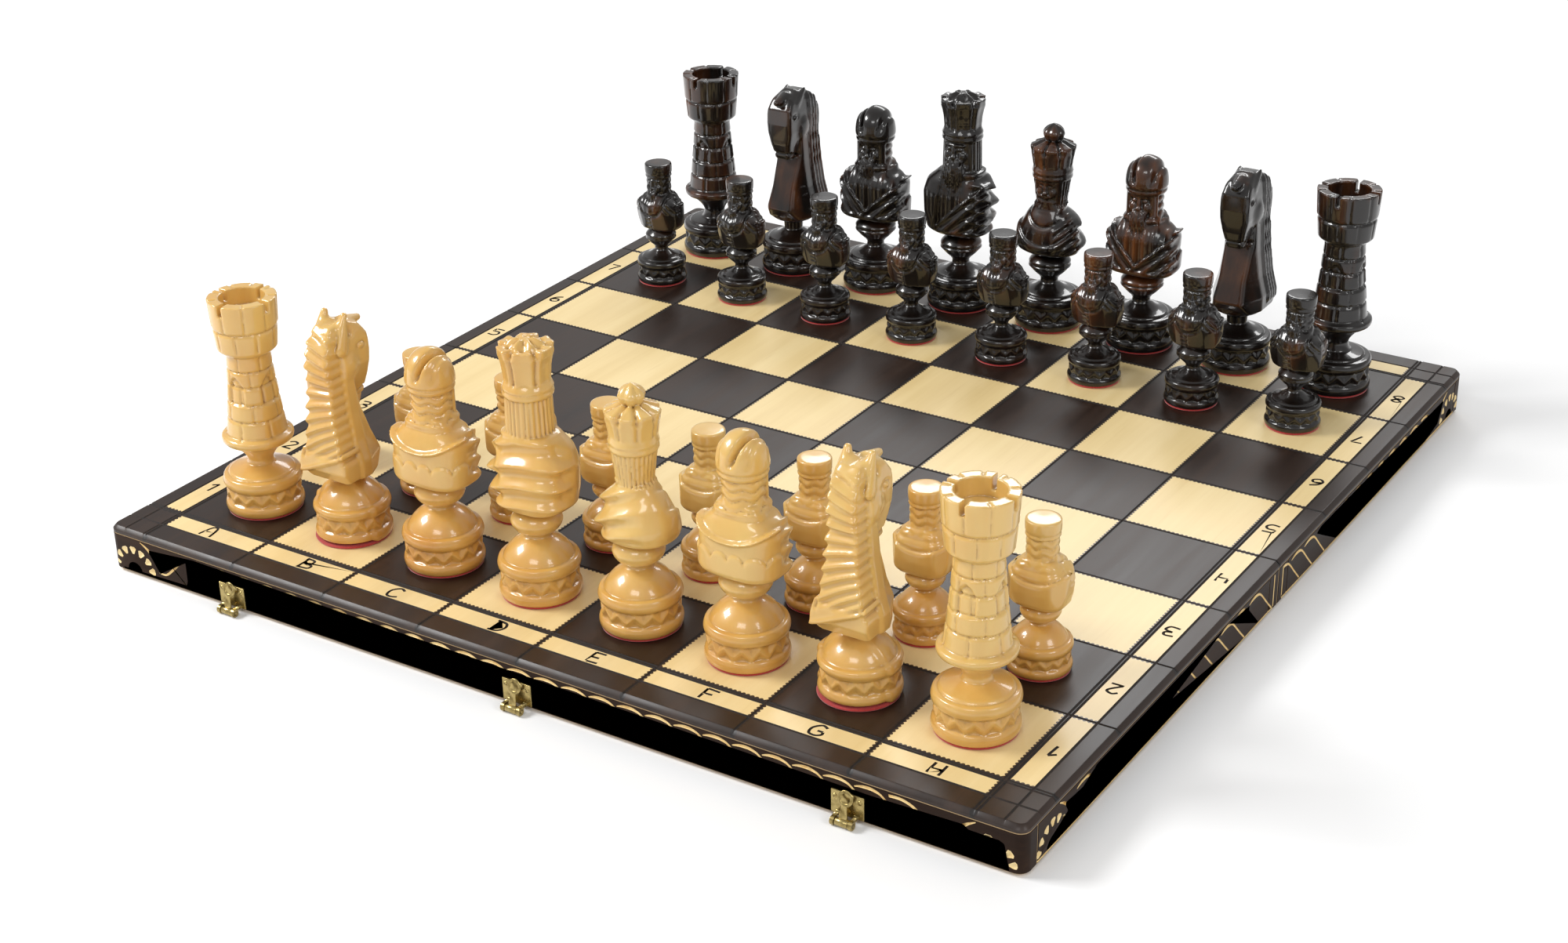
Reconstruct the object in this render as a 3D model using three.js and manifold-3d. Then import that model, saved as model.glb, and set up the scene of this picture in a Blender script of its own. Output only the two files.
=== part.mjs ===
// Chess set with a folding board: thirty-two carved men standing on two hinged half boxes that
// are opened out flat. Millimetres, +Z up. The origin is on the ground under the middle of the
// fold. +X runs from the A file to the H file, +Y from the white side, which has the clasps, to
// the black side.
import * as THREE from "three";
import { mergeVertices } from "three/addons/utils/BufferGeometryUtils.js";
import Module from "manifold-3d";

const wasm = await Module();
wasm.setup();

// Board
const SQUARE = 65;
const BORDER_X = 27.5; // lettered strip and dark edge beside the squares
const BORDER_Y = 31; // the same in front of and behind the squares
const BOARD_TOP = 28; // playing surface above the ground
const PANEL = 4; // plywood sheet that carries the squares
const EDGE_BEVEL = 2.4;
const RAIL = 12; // thickness of the walls of each half box
const CORNER = 6; // rounding of the outer upright edges
const GLUE_GAP = 0.3; // between pieces fixed face to face
const FOLD_GAP = 0.5; // between the two rims when the box is shut
const SEAM = 0.3; // from the plane of the fold to each half

// Butt hinges let into the rims at the fold
const HINGE_AT = 195;
const HINGE_WIDTH = 40;
const BARREL_R = 1.6;
const HINGE_PIN_R = 0.85;
const PIN_PLAY = 0.12;
const KNUCKLES = 5;
const KNUCKLE_GAP = 0.3;
const LEAF = 1.2;
const LEAF_DEPTH = 9;
const LEAF_STEP = 0.15; // from the fold's axis up to the leaf
const LET_IN = 0.3; // room round the metal in the wood

// Clasps on the front wall, with a catch for each on the back wall
const CLASP_AT = 3 * SQUARE;
const CLASP_REACH = 8.5; // how far clasps and catches stand out from the walls
const CLASP_PIN_R = 0.8;
const EAR_R = 2.4;
const EAR_WIDTH = 2.2;
const HASP_WIDTH = 7;
const HASP_BARREL_R = 2.1;
const HASP_ARM = 5;
const HASP_PLAY = 0.3;
const HASP_LEAN = 14; // degrees from upright, towards the wall
const SHUT_LEAN = 12; // the same when it hangs over its catch
const EYE_AT = 12; // from the hasp's pin to the middle of its eye
const EYE_HOLE_R = 3.3;
const EYE_RIM = 2.1;
const FITTING = 1.2; // thickness of the sheet brass
const PLATE_WIDTH = 18;
const PLATE_LOW = 3.4;
const PLATE_HIGH = 16;
const KNOB_R = 1.6;
const KNOB_HEAD_R = 2.2;
const KNOB_HEAD = 1.2;

// Men
const FELT_GAP = 0.3; // under each man
const SIDES = 12; // facets round a turned man
const OFFICER_FOOT_R = 21.7;
const PAWN_FOOT_R = 16.5;
const OFFICER_BALL_R = 13.7;
const PAWN_BALL_R = 11;
const KING_HEIGHT = 144;
const QUEEN_HEIGHT = 134;
const BISHOP_HEIGHT = 125;
const KNIGHT_HEIGHT = 129;
const ROOK_HEIGHT = 127;
const PAWN_HEIGHT = 83;
const ROOK_BORE_R = 12.5;
const ROOK_BORE_DEPTH = 9;
const CRENEL = 3;

// Worked out from the sizes above
const HALF_X = 4 * SQUARE + BORDER_X;
const HALF_Y = 4 * SQUARE + BORDER_Y;
const AXIS_Z = BARREL_R; // the barrels reach the ground
const RIM_Z = AXIS_Z + FOLD_GAP / 2;
const PANEL_Z = BOARD_TOP - PANEL;
const RAIL_TOP = PANEL_Z - GLUE_GAP;
const LEAF_Z = AXIS_Z + LEAF_STEP;
const LEAF_START = BARREL_R + KNUCKLE_GAP;
const PIVOT_OUT = CLASP_REACH - EAR_R;
const PIVOT_Z = EAR_R; // the ears reach the ground
const LEAN = THREE.MathUtils.degToRad(HASP_LEAN);
// Shut, the catch hangs under the clasp with its knob in the middle of the eye.
const HANG = EYE_AT * Math.cos(THREE.MathUtils.degToRad(SHUT_LEAN));
const KNOB_Z = 2 * AXIS_Z - (PIVOT_Z - HANG);

const paint = (color, roughness, metalness = 0) =>
  new THREE.MeshStandardMaterial({ color, roughness, metalness });
const boardWood = paint(0x8a6a45, 0.5);
const wallWood = paint(0x2c211b, 0.5);
const brass = paint(0x8f7a3c, 0.45, 0.9);
const steel = paint(0xb8b4aa, 0.35, 0.9);
const whiteLacquer = paint(0xe3bd6f, 0.2);
const blackLacquer = paint(0x24140d, 0.15);

const set = new THREE.Group();

function addNode(name, geometry, material) {
  const mesh = new THREE.Mesh(geometry, material);
  mesh.name = name;
  set.add(mesh);
  return mesh;
}

// --- shapes -----------------------------------------------------------------------------------

// A geometry with only its positions, so that faces which meet share their corners.
function bare(geometry) {
  const positions = new THREE.BufferGeometry();
  positions.setAttribute("position", geometry.getAttribute("position").clone());
  if (geometry.index) positions.setIndex(geometry.index.clone());
  return mergeVertices(positions, 1e-4);
}

function toSolid(geometry) {
  const merged = bare(geometry);
  return new wasm.Manifold(
    new wasm.Mesh({
      numProp: 3,
      vertProperties: merged.attributes.position.array,
      triVerts: new Uint32Array(merged.index.array),
    }),
  );
}

function toGeometry(solid) {
  const mesh = solid.getMesh();
  const geometry = new THREE.BufferGeometry();
  geometry.setAttribute("position", new THREE.BufferAttribute(mesh.vertProperties, 3));
  geometry.setIndex(new THREE.BufferAttribute(mesh.triVerts, 1));
  return geometry;
}

const joined = (...pieces) => toGeometry(pieces.map(toSolid).reduce((a, b) => a.add(b)));
const cut = (body, ...tools) =>
  toGeometry(tools.map(toSolid).reduce((a, b) => a.subtract(b), toSolid(body)));

// A box from its low corner to its high corner.
function block([x0, y0, z0], [x1, y1, z1]) {
  const box = new THREE.BoxGeometry(x1 - x0, y1 - y0, z1 - z0);
  return box.translate((x0 + x1) / 2, (y0 + y1) / 2, (z0 + z1) / 2);
}

// A round bar along X.
function barAlongX(x0, x1, y, z, radius, sides = 16) {
  const bar = new THREE.CylinderGeometry(radius, radius, x1 - x0, sides);
  return bar.rotateZ(Math.PI / 2).translate((x0 + x1) / 2, y, z);
}

// A round bar along Y.
function barAlongY(x, y0, y1, z, radius, sides = 12) {
  const bar = new THREE.CylinderGeometry(radius, radius, y1 - y0, sides);
  return bar.translate(x, (y0 + y1) / 2, z);
}

// A turned solid about Z. Each point of the outline is [radius, height] or [radius, height,
// depth], where depth below 1 flattens that ring from front to back.
function turned(outline, sides = SIDES) {
  const points = outline.map(([radius, height]) => new THREE.Vector2(radius, height));
  const geometry = new THREE.LatheGeometry(points, sides).rotateX(Math.PI / 2);
  const position = geometry.getAttribute("position");
  for (let i = 0; i < position.count; i++) {
    const depth = outline[i % outline.length][2] ?? 1;
    position.setY(i, position.getY(i) * depth);
  }
  return bare(geometry);
}

// An outline of [y, z] points pulled out along X, centred on x = 0.
function pulledAlongX(outline, width) {
  const shape = new THREE.Shape(outline.map(([y, z]) => new THREE.Vector2(y, z)));
  const plate = new THREE.ExtrudeGeometry(shape, { depth: width, bevelEnabled: false });
  // The shape's x and y become +Y and +Z, and its depth becomes +X.
  plate.applyMatrix4(new THREE.Matrix4().set(0, 0, 1, 0, 1, 0, 0, 0, 0, 1, 0, 0, 0, 0, 0, 1));
  return plate.translate(-width / 2, 0, 0);
}

// --- board ------------------------------------------------------------------------------------

// The plan of one half: square at the fold, rounded at its two outer corners. inset draws its
// outer edges in, side is -1 for the near half and 1 for the far half.
function halfPlan(side, inset) {
  const x = HALF_X - inset;
  const y = HALF_Y - inset;
  const r = CORNER - inset;
  const plan = new THREE.Shape();
  plan.moveTo(-x, side * SEAM);
  plan.lineTo(-x, side * (y - r));
  plan.absarc(-x + r, side * (y - r), r, Math.PI, Math.PI - side * (Math.PI / 2), side > 0);
  plan.lineTo(x - r, side * y);
  plan.absarc(x - r, side * (y - r), r, side * (Math.PI / 2), 0, side > 0);
  plan.lineTo(x, side * SEAM);
  return plan;
}

const pulledUp = (plan, z0, z1) =>
  new THREE.ExtrudeGeometry(plan, { depth: z1 - z0, bevelEnabled: false, curveSegments: 4 })
    .translate(0, 0, z0);

// The plywood sheet. Its outer edge is bevelled, as a frustum between two plans.
function topPanel(side) {
  const lower = halfPlan(side, 0).getPoints(4);
  const upper = halfPlan(side, EDGE_BEVEL).getPoints(4);
  const levels = [
    [lower, PANEL_Z],
    [lower, BOARD_TOP - EDGE_BEVEL],
    [upper, BOARD_TOP],
  ];
  const corners = levels.flatMap(([plan, z]) => plan.map((p) => [p.x, p.y, z]));
  const n = lower.length;
  const faces = [];
  for (let level = 0; level + 1 < levels.length; level++) {
    for (let i = 0; i < n; i++) {
      const a = level * n + i;
      const b = level * n + ((i + 1) % n);
      faces.push([a, b, b + n], [a, b + n, a + n]);
    }
  }
  const cap = THREE.ShapeUtils.triangulateShape(lower, []);
  const top = (levels.length - 1) * n;
  for (const [a, b, c] of cap) {
    faces.push([a, c, b], [top + a, top + b, top + c]);
  }
  const windsLeft = THREE.ShapeUtils.area(lower) > 0;
  const sheet = new THREE.BufferGeometry();
  sheet.setAttribute("position", new THREE.Float32BufferAttribute(corners.flat(), 3));
  sheet.setIndex(faceIndices(faces, windsLeft, cap, lower));
  return sheet;
}

// Puts the walls' faces and the caps' faces the same way round, outwards.
function faceIndices(faces, windsLeft, cap, plan) {
  const [a, b, c] = cap[0].map((i) => plan[i]);
  const capLeft = (b.x - a.x) * (c.y - a.y) - (b.y - a.y) * (c.x - a.x) > 0;
  const walls = faces.length - 2 * cap.length;
  return faces.flatMap(([p, q, r], i) =>
    (i < walls ? windsLeft : capLeft) ? [p, q, r] : [p, r, q],
  );
}

// The room that both hinges need in the wood at the fold.
function hingeRooms(side) {
  const reach = HINGE_WIDTH / 2 + LET_IN;
  const ends = (y0, y1) => [Math.min(side * y0, side * y1), Math.max(side * y0, side * y1)];
  return [-HINGE_AT, HINGE_AT].flatMap((x) => {
    const [leaf0, leaf1] = ends(0, LEAF_START + LEAF_DEPTH + LET_IN);
    const [barrel0, barrel1] = ends(0, BARREL_R + LET_IN);
    return [
      block([x - reach, leaf0, 0], [x + reach, leaf1, LEAF_Z + LEAF + LET_IN]),
      block([x - reach, barrel0, 0], [x + reach, barrel1, AXIS_Z + BARREL_R + LET_IN]),
    ];
  });
}

const OUTER_WALLS = { near: "front_rail", far: "back_rail" };

for (const [half, side] of [["near", -1], ["far", 1]]) {
  addNode(`${half}_top_panel`, topPanel(side), boardWood);

  // Outer wall: runs the full width, with the two rounded corners.
  const body = pulledUp(halfPlan(side, 0), RIM_Z, RAIL_TOP);
  const inside = side * (HALF_Y - RAIL);
  const inner = [Math.min(0, inside), Math.max(0, inside)];
  const spare = block([-HALF_X - 1, inner[0], 0], [HALF_X + 1, inner[1], BOARD_TOP]);
  addNode(`${half}_${OUTER_WALLS[half]}`, cut(body, spare), wallWood);

  // Wall at the fold: runs the full width, with the hinges let in.
  const foldWall = [side * SEAM, side * (SEAM + RAIL)].sort((a, b) => a - b);
  const plank = block([-HALF_X, foldWall[0], RIM_Z], [HALF_X, foldWall[1], RAIL_TOP]);
  addNode(`${half}_hinge_rail`, cut(plank, ...hingeRooms(side)), wallWood);

  // Side walls: between the other two.
  const span = [side * (SEAM + RAIL + GLUE_GAP), side * (HALF_Y - RAIL - GLUE_GAP)];
  const [y0, y1] = span.sort((a, b) => a - b);
  for (const [hand, sign] of [["left", -1], ["right", 1]]) {
    const [x0, x1] = [sign * HALF_X, sign * (HALF_X - RAIL)].sort((a, b) => a - b);
    addNode(`${half}_${hand}_rail`, block([x0, y0, RIM_Z], [x1, y1, RAIL_TOP]), wallWood);
  }
}

// --- hinges -----------------------------------------------------------------------------------

// One leaf of a butt hinge: a flat plate and every second knuckle.
function hingeLeaf(x, side) {
  const left = x - HINGE_WIDTH / 2;
  const pitch = HINGE_WIDTH / KNUCKLES;
  const [plate0, plate1] = [side * LEAF_START, side * (LEAF_START + LEAF_DEPTH)].sort(
    (a, b) => a - b,
  );
  const top = LEAF_Z + LEAF;
  const pieces = [block([left, plate0, LEAF_Z], [left + HINGE_WIDTH, plate1, top])];
  for (let i = side < 0 ? 0 : 1; i < KNUCKLES; i += 2) {
    const x0 = left + i * pitch + (i > 0 ? KNUCKLE_GAP / 2 : 0);
    const x1 = left + (i + 1) * pitch - (i < KNUCKLES - 1 ? KNUCKLE_GAP / 2 : 0);
    const tongue = [side * (BARREL_R / 2), side * (LEAF_START + 1)].sort((a, b) => a - b);
    pieces.push(barAlongX(x0, x1, 0, AXIS_Z, BARREL_R));
    pieces.push(block([x0, tongue[0], LEAF_Z], [x1, tongue[1], top]));
  }
  const bore = barAlongX(left - 1, left + HINGE_WIDTH + 1, 0, AXIS_Z, HINGE_PIN_R + PIN_PLAY);
  return cut(joined(...pieces), bore);
}

for (const [hand, x] of [["left", -HINGE_AT], ["right", HINGE_AT]]) {
  addNode(`${hand}_hinge_near_leaf`, hingeLeaf(x, -1), brass);
  addNode(`${hand}_hinge_far_leaf`, hingeLeaf(x, 1), brass);
  const pinEnd = HINGE_WIDTH / 2;
  const pin = barAlongX(x - pinEnd, x + pinEnd, 0, AXIS_Z, HINGE_PIN_R);
  addNode(`${hand}_hinge_pin`, pin, steel);
}

// --- clasps -----------------------------------------------------------------------------------

const WALL_Y = -HALF_Y;
const PIVOT_Y = WALL_Y - PIVOT_OUT;
const EAR_INNER = HASP_WIDTH / 2 + HASP_PLAY;

// The plate on the front wall, with two ears that hold the pin.
function claspPlate(x) {
  const back = WALL_Y - GLUE_GAP;
  const front = back - FITTING;
  const half = PLATE_WIDTH / 2;
  const pieces = [block([x - half, front, PLATE_LOW], [x + half, back, PLATE_HIGH])];
  for (const hand of [-1, 1]) {
    const [x0, x1] = [x + hand * EAR_INNER, x + hand * (EAR_INNER + EAR_WIDTH)].sort(
      (a, b) => a - b,
    );
    pieces.push(block([x0, PIVOT_Y, PLATE_LOW], [x1, front + FITTING / 2, PIVOT_Z + EAR_R]));
    pieces.push(barAlongX(x0, x1, PIVOT_Y, PIVOT_Z, EAR_R));
  }
  const reach = EAR_INNER + EAR_WIDTH + 1;
  const bore = barAlongX(x - reach, x + reach, PIVOT_Y, PIVOT_Z, CLASP_PIN_R + PIN_PLAY);
  return cut(joined(...pieces), bore);
}

// The swinging eye, drawn upright about its pin and then leant against the wall.
function hasp(x) {
  const half = HASP_WIDTH / 2;
  const outer = EYE_HOLE_R + EYE_RIM;
  const ring = new THREE.Shape();
  ring.absarc(0, EYE_AT, outer, 0, 2 * Math.PI);
  const hole = new THREE.Path();
  hole.absarc(0, EYE_AT, EYE_HOLE_R, 0, 2 * Math.PI);
  ring.holes.push(hole);
  const eye = new THREE.ExtrudeGeometry(ring, {
    depth: FITTING,
    bevelEnabled: false,
    curveSegments: 16,
  });
  eye.rotateX(Math.PI / 2).translate(0, FITTING / 2, 0);
  const armTop = EYE_AT - EYE_HOLE_R - EYE_RIM / 2;
  const arm = block(
    [-HASP_ARM / 2, -FITTING / 2, 0],
    [HASP_ARM / 2, FITTING / 2, armTop],
  );
  const barrel = barAlongX(-half, half, 0, 0, HASP_BARREL_R);
  const bore = barAlongX(-half - 1, half + 1, 0, 0, CLASP_PIN_R + PIN_PLAY);
  const upright = cut(joined(barrel, arm, eye), bore);
  return upright.rotateX(-LEAN).translate(x, PIVOT_Y, PIVOT_Z);
}

// The plate and knob on the back wall.
function claspCatch(x) {
  const wall = HALF_Y + GLUE_GAP;
  const front = wall + FITTING;
  const half = PLATE_WIDTH / 3;
  const tip = HALF_Y + CLASP_REACH;
  return joined(
    block([x - half, wall, KNOB_Z - half], [x + half, front, KNOB_Z + half]),
    barAlongY(x, front - FITTING / 2, tip - KNOB_HEAD / 2, KNOB_Z, KNOB_R),
    barAlongY(x, tip - KNOB_HEAD, tip, KNOB_Z, KNOB_HEAD_R),
  );
}

for (const [place, x] of [["left", -CLASP_AT], ["middle", 0], ["right", CLASP_AT]]) {
  addNode(`${place}_clasp_plate`, claspPlate(x), brass);
  addNode(`${place}_clasp_hasp`, hasp(x), brass);
  const pinEnd = EAR_INNER + EAR_WIDTH;
  const pin = barAlongX(x - pinEnd, x + pinEnd, PIVOT_Y, PIVOT_Z, CLASP_PIN_R);
  addNode(`${place}_clasp_pin`, pin, steel);
  addNode(`${place}_clasp_catch`, claspCatch(x), brass);
}

// --- men --------------------------------------------------------------------------------------

// Foot, carved band and dome of an officer, up to the stem.
const officerFoot = [
  [0, 0],
  [OFFICER_FOOT_R, 0],
  [OFFICER_FOOT_R, 5],
  [OFFICER_FOOT_R - 1.3, 13],
  [OFFICER_FOOT_R - 0.6, 18],
  [OFFICER_FOOT_R - 5, 23.5],
];
const officerBall = [
  [6.3, 33],
  [OFFICER_BALL_R, 41],
  [8, 49],
];

const king = () =>
  turned([
    ...officerFoot,
    ...officerBall,
    [18, 51, 0.8],
    [23, 66, 0.75],
    [24, 80, 0.7],
    [12.5, 94, 0.9],
    [12.5, 118],
    [15, KING_HEIGHT - 4],
    [9, KING_HEIGHT],
    [0, KING_HEIGHT],
  ]);

const queen = () =>
  turned([
    ...officerFoot,
    ...officerBall,
    [16, 50, 0.8],
    [22.5, 62, 0.75],
    [22.5, 72, 0.7],
    [9.5, 81],
    [12, 104],
    [14.6, QUEEN_HEIGHT - 13],
    [7, QUEEN_HEIGHT - 9],
    [7, QUEEN_HEIGHT - 2],
    [0, QUEEN_HEIGHT],
  ]);

const bishop = () =>
  turned([
    ...officerFoot,
    ...officerBall,
    [17, 51, 0.8],
    [23.5, 64, 0.75],
    [23, 76, 0.7],
    [10, 86],
    [11.5, 101],
    [13, 106],
    [12, BISHOP_HEIGHT - 5],
    [0, BISHOP_HEIGHT],
  ]);

const pawn = () =>
  turned([
    [0, 0],
    [PAWN_FOOT_R, 0],
    [PAWN_FOOT_R - 0.6, 12.5],
    [5, 24],
    [PAWN_BALL_R, 30],
    [6, 36],
    [15, 42, 0.75],
    [16, 55, 0.75],
    [8, 61],
    [8.5, PAWN_HEIGHT],
    [0, PAWN_HEIGHT],
  ]);

// A tower: a cup on the stem, a tapering shaft and a hollow head cut by four slots.
function rook() {
  const head = 18.8;
  const tower = turned([
    ...officerFoot,
    [7, 30],
    [19.5, 43],
    [19.5, 46],
    [16, 47],
    [12.3, 94],
    [17, 98],
    [head, ROOK_HEIGHT],
    [ROOK_BORE_R, ROOK_HEIGHT],
    [ROOK_BORE_R, ROOK_HEIGHT - ROOK_BORE_DEPTH],
    [0, ROOK_HEIGHT - ROOK_BORE_DEPTH],
  ]);
  const slotLow = ROOK_HEIGHT - 0.7 * ROOK_BORE_DEPTH;
  const slotHigh = ROOK_HEIGHT + 1;
  const reach = head + 1;
  const slots = [
    block([-reach, -CRENEL / 2, slotLow], [reach, CRENEL / 2, slotHigh]),
    block([-CRENEL / 2, -reach, slotLow], [CRENEL / 2, reach, slotHigh]),
  ];
  return cut(tower, ...slots);
}

// A horse's head and neck on a turned foot. The outline is seen from the side: the front is +Y.
function knight() {
  const foot = turned([
    ...officerFoot,
    [10, 32],
    [15, 37],
    [15, 41],
    [0, 41],
  ]);
  const neckWidth = 32;
  const headWidth = 20;
  const neck = pulledAlongX(
    [
      [-14, 38],
      [10, 38],
      [17, 50],
      [3, 82],
      [0, 96],
      [-17, 96],
      [-20, 70],
      [-19, 48],
    ],
    neckWidth,
  );
  const head = pulledAlongX(
    [
      [-17, 90],
      [2, 90],
      [3, 80],
      [11, 82],
      [14, 118],
      [9, KNIGHT_HEIGHT - 5],
      [0, KNIGHT_HEIGHT],
      [-12, KNIGHT_HEIGHT - 9],
      [-19, KNIGHT_HEIGHT - 25],
    ],
    headWidth,
  );
  return joined(foot, neck, head);
}

const FILES = ["a", "b", "c", "d", "e", "f", "g", "h"];
const BACK_RANK = ["rook", "knight", "bishop", "king", "queen", "bishop", "knight", "rook"];
const CARVED = { king, queen, bishop, knight, rook, pawn };

// Stands a man in the middle of a square. Each army faces the other.
function standMan(army, kind, file, rank) {
  const geometry = CARVED[kind]();
  const material = army === "white" ? whiteLacquer : blackLacquer;
  const man = addNode(`${army}_${kind}_${FILES[file]}`, geometry, material);
  man.position.set((file - 3.5) * SQUARE, (rank - 4.5) * SQUARE, BOARD_TOP + FELT_GAP);
  man.rotation.z = army === "white" ? 0 : Math.PI;
}

for (let file = 0; file < FILES.length; file++) {
  standMan("white", BACK_RANK[file], file, 1);
  standMan("white", "pawn", file, 2);
  standMan("black", "pawn", file, 7);
  standMan("black", BACK_RANK[file], file, 8);
}

export default set;
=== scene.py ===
# %% [markdown]
# # A chess set with its folding board
# The set is a birch box that opens flat into a board, and thirty-two carved men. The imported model
# gives every part's size, place and motion. This script makes what the eye sees: burnt and carved
# wood, brass, felt and two colours of lacquer. All lengths in the model are metres. The maker's
# sizes below are in millimetres, as on a workshop drawing, and MM turns one into the other.

# %%
import math

import bmesh
import bpy
import numpy as np
from mathutils import Matrix, Vector


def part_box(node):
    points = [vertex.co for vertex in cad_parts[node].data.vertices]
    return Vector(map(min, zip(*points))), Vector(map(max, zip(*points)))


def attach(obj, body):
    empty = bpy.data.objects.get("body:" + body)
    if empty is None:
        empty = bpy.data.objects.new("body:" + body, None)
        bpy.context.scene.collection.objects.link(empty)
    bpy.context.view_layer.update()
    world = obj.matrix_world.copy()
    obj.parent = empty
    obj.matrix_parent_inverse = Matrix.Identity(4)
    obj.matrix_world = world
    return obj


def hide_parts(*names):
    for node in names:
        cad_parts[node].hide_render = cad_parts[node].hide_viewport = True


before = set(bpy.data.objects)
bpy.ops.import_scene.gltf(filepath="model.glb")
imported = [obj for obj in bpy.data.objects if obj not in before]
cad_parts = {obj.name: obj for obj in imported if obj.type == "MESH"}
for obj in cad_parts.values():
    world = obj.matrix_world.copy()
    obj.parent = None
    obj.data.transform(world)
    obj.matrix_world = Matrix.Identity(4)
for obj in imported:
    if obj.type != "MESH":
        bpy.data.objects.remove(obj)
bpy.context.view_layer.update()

MM = 0.001

# %% [markdown]
# ## The board's measures
# Everything on the board is laid out from one square. The panel's box in the model gives the rest:
# its top is the playing surface and its outer edges are the edges of the board.

# %%
SQUARE = 65.0
low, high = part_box("near_top_panel")
HALF_X = high[0] / MM
HALF_Y = -low[1] / MM
TOP = high[2] / MM
PANEL_Z = low[2] / MM
rim, rail_top = (corner[2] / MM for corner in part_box("near_front_rail"))
FIELD = 4 * SQUARE
STRIP = (FIELD + 2.0, 4.24 * SQUARE)  # the lettered strip, from its inner to its outer line
print("half width", round(HALF_X, 2), "half length", round(HALF_Y, 2), "top", round(TOP, 2))

# %% [markdown]
# ## Camera
# The camera stands in front and to the right of the board, a little over a metre away, and looks
# down at it. It is given by its direction as seen from the board, its distance and a small roll.

# %%
AZIMUTH, ELEVATION, ROLL = (math.radians(a) for a in (32.99, 26.472, -1.083))
camera = bpy.data.objects.new("camera", bpy.data.cameras.new("camera"))
bpy.context.collection.objects.link(camera)
camera.data.lens = 57.79
camera.data.sensor_width = 36.0
across = Vector((math.cos(AZIMUTH), math.sin(AZIMUTH), 0))
back = Vector(
    (
        math.sin(AZIMUTH) * math.cos(ELEVATION),
        -math.cos(AZIMUTH) * math.cos(ELEVATION),
        math.sin(ELEVATION),
    )
)
upright = back.cross(across)
right = across * math.cos(ROLL) + upright * math.sin(ROLL)
up = upright * math.cos(ROLL) - across * math.sin(ROLL)
camera.matrix_world = Matrix((right, up, back)).transposed().to_4x4()
camera.location = (0.7075, -1.1308, 0.6733)
camera.data.clip_start = 0.01
bpy.context.scene.camera = camera
print("camera at", [round(v, 3) for v in camera.location])

# %% [markdown]
# ## Light and floor
# Lacquer shows what it reflects, so the lights are large soft panels like those round a
# studio table. The floor and the surroundings are nearly white, which keeps the shadows
# pale.


# %%
def panel_light(name, place, target, size, watts):
    light = bpy.data.lights.new(name, "AREA")
    light.shape = "RECTANGLE"
    light.size, light.size_y = size
    light.energy = watts
    lamp = bpy.data.objects.new(name, light)
    bpy.context.collection.objects.link(lamp)
    lamp.location = place
    towards = Vector(target) - Vector(place)
    lamp.rotation_euler = towards.to_track_quat("-Z", "Y").to_euler()


panel_light("left_panel", (-1.5, -0.9, 1.5), (0, 0, 0.05), (0.8, 0.6), 34)
panel_light("right_panel", (1.9, -0.6, 1.3), (0, 0, 0.05), (0.7, 0.7), 10)
panel_light("front_panel", (0.5, -2.0, 1.6), (0, 0, 0.05), (1.0, 0.5), 10)
panel_light("back_panel", (-0.5, 2.0, 1.5), (0, 0, 0.05), (1.6, 0.5), 18)

bpy.context.scene.view_settings.view_transform = "Standard"

world = bpy.data.worlds.new("pale_room")
bpy.context.scene.world = world
world.use_nodes = True
surround = world.node_tree.nodes["Background"]
surround.inputs["Color"].default_value = (1, 1, 1, 1)
surround.inputs["Strength"].default_value = 0.5

floor_mesh = bpy.data.meshes.new("floor")
floor_mesh.from_pydata([(-9, -9, 0), (9, -9, 0), (9, 9, 0), (-9, 9, 0)], [], [(0, 1, 2, 3)])
floor = bpy.data.objects.new("floor", floor_mesh)
bpy.context.collection.objects.link(floor)

# %% [markdown]
# ## Finishes
# Each finish is a small net of shader nodes round one Principled shader. Two helpers keep the nets
# readable: one opens a finish, and one adds a node, sets its options and joins its inputs.


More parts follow.
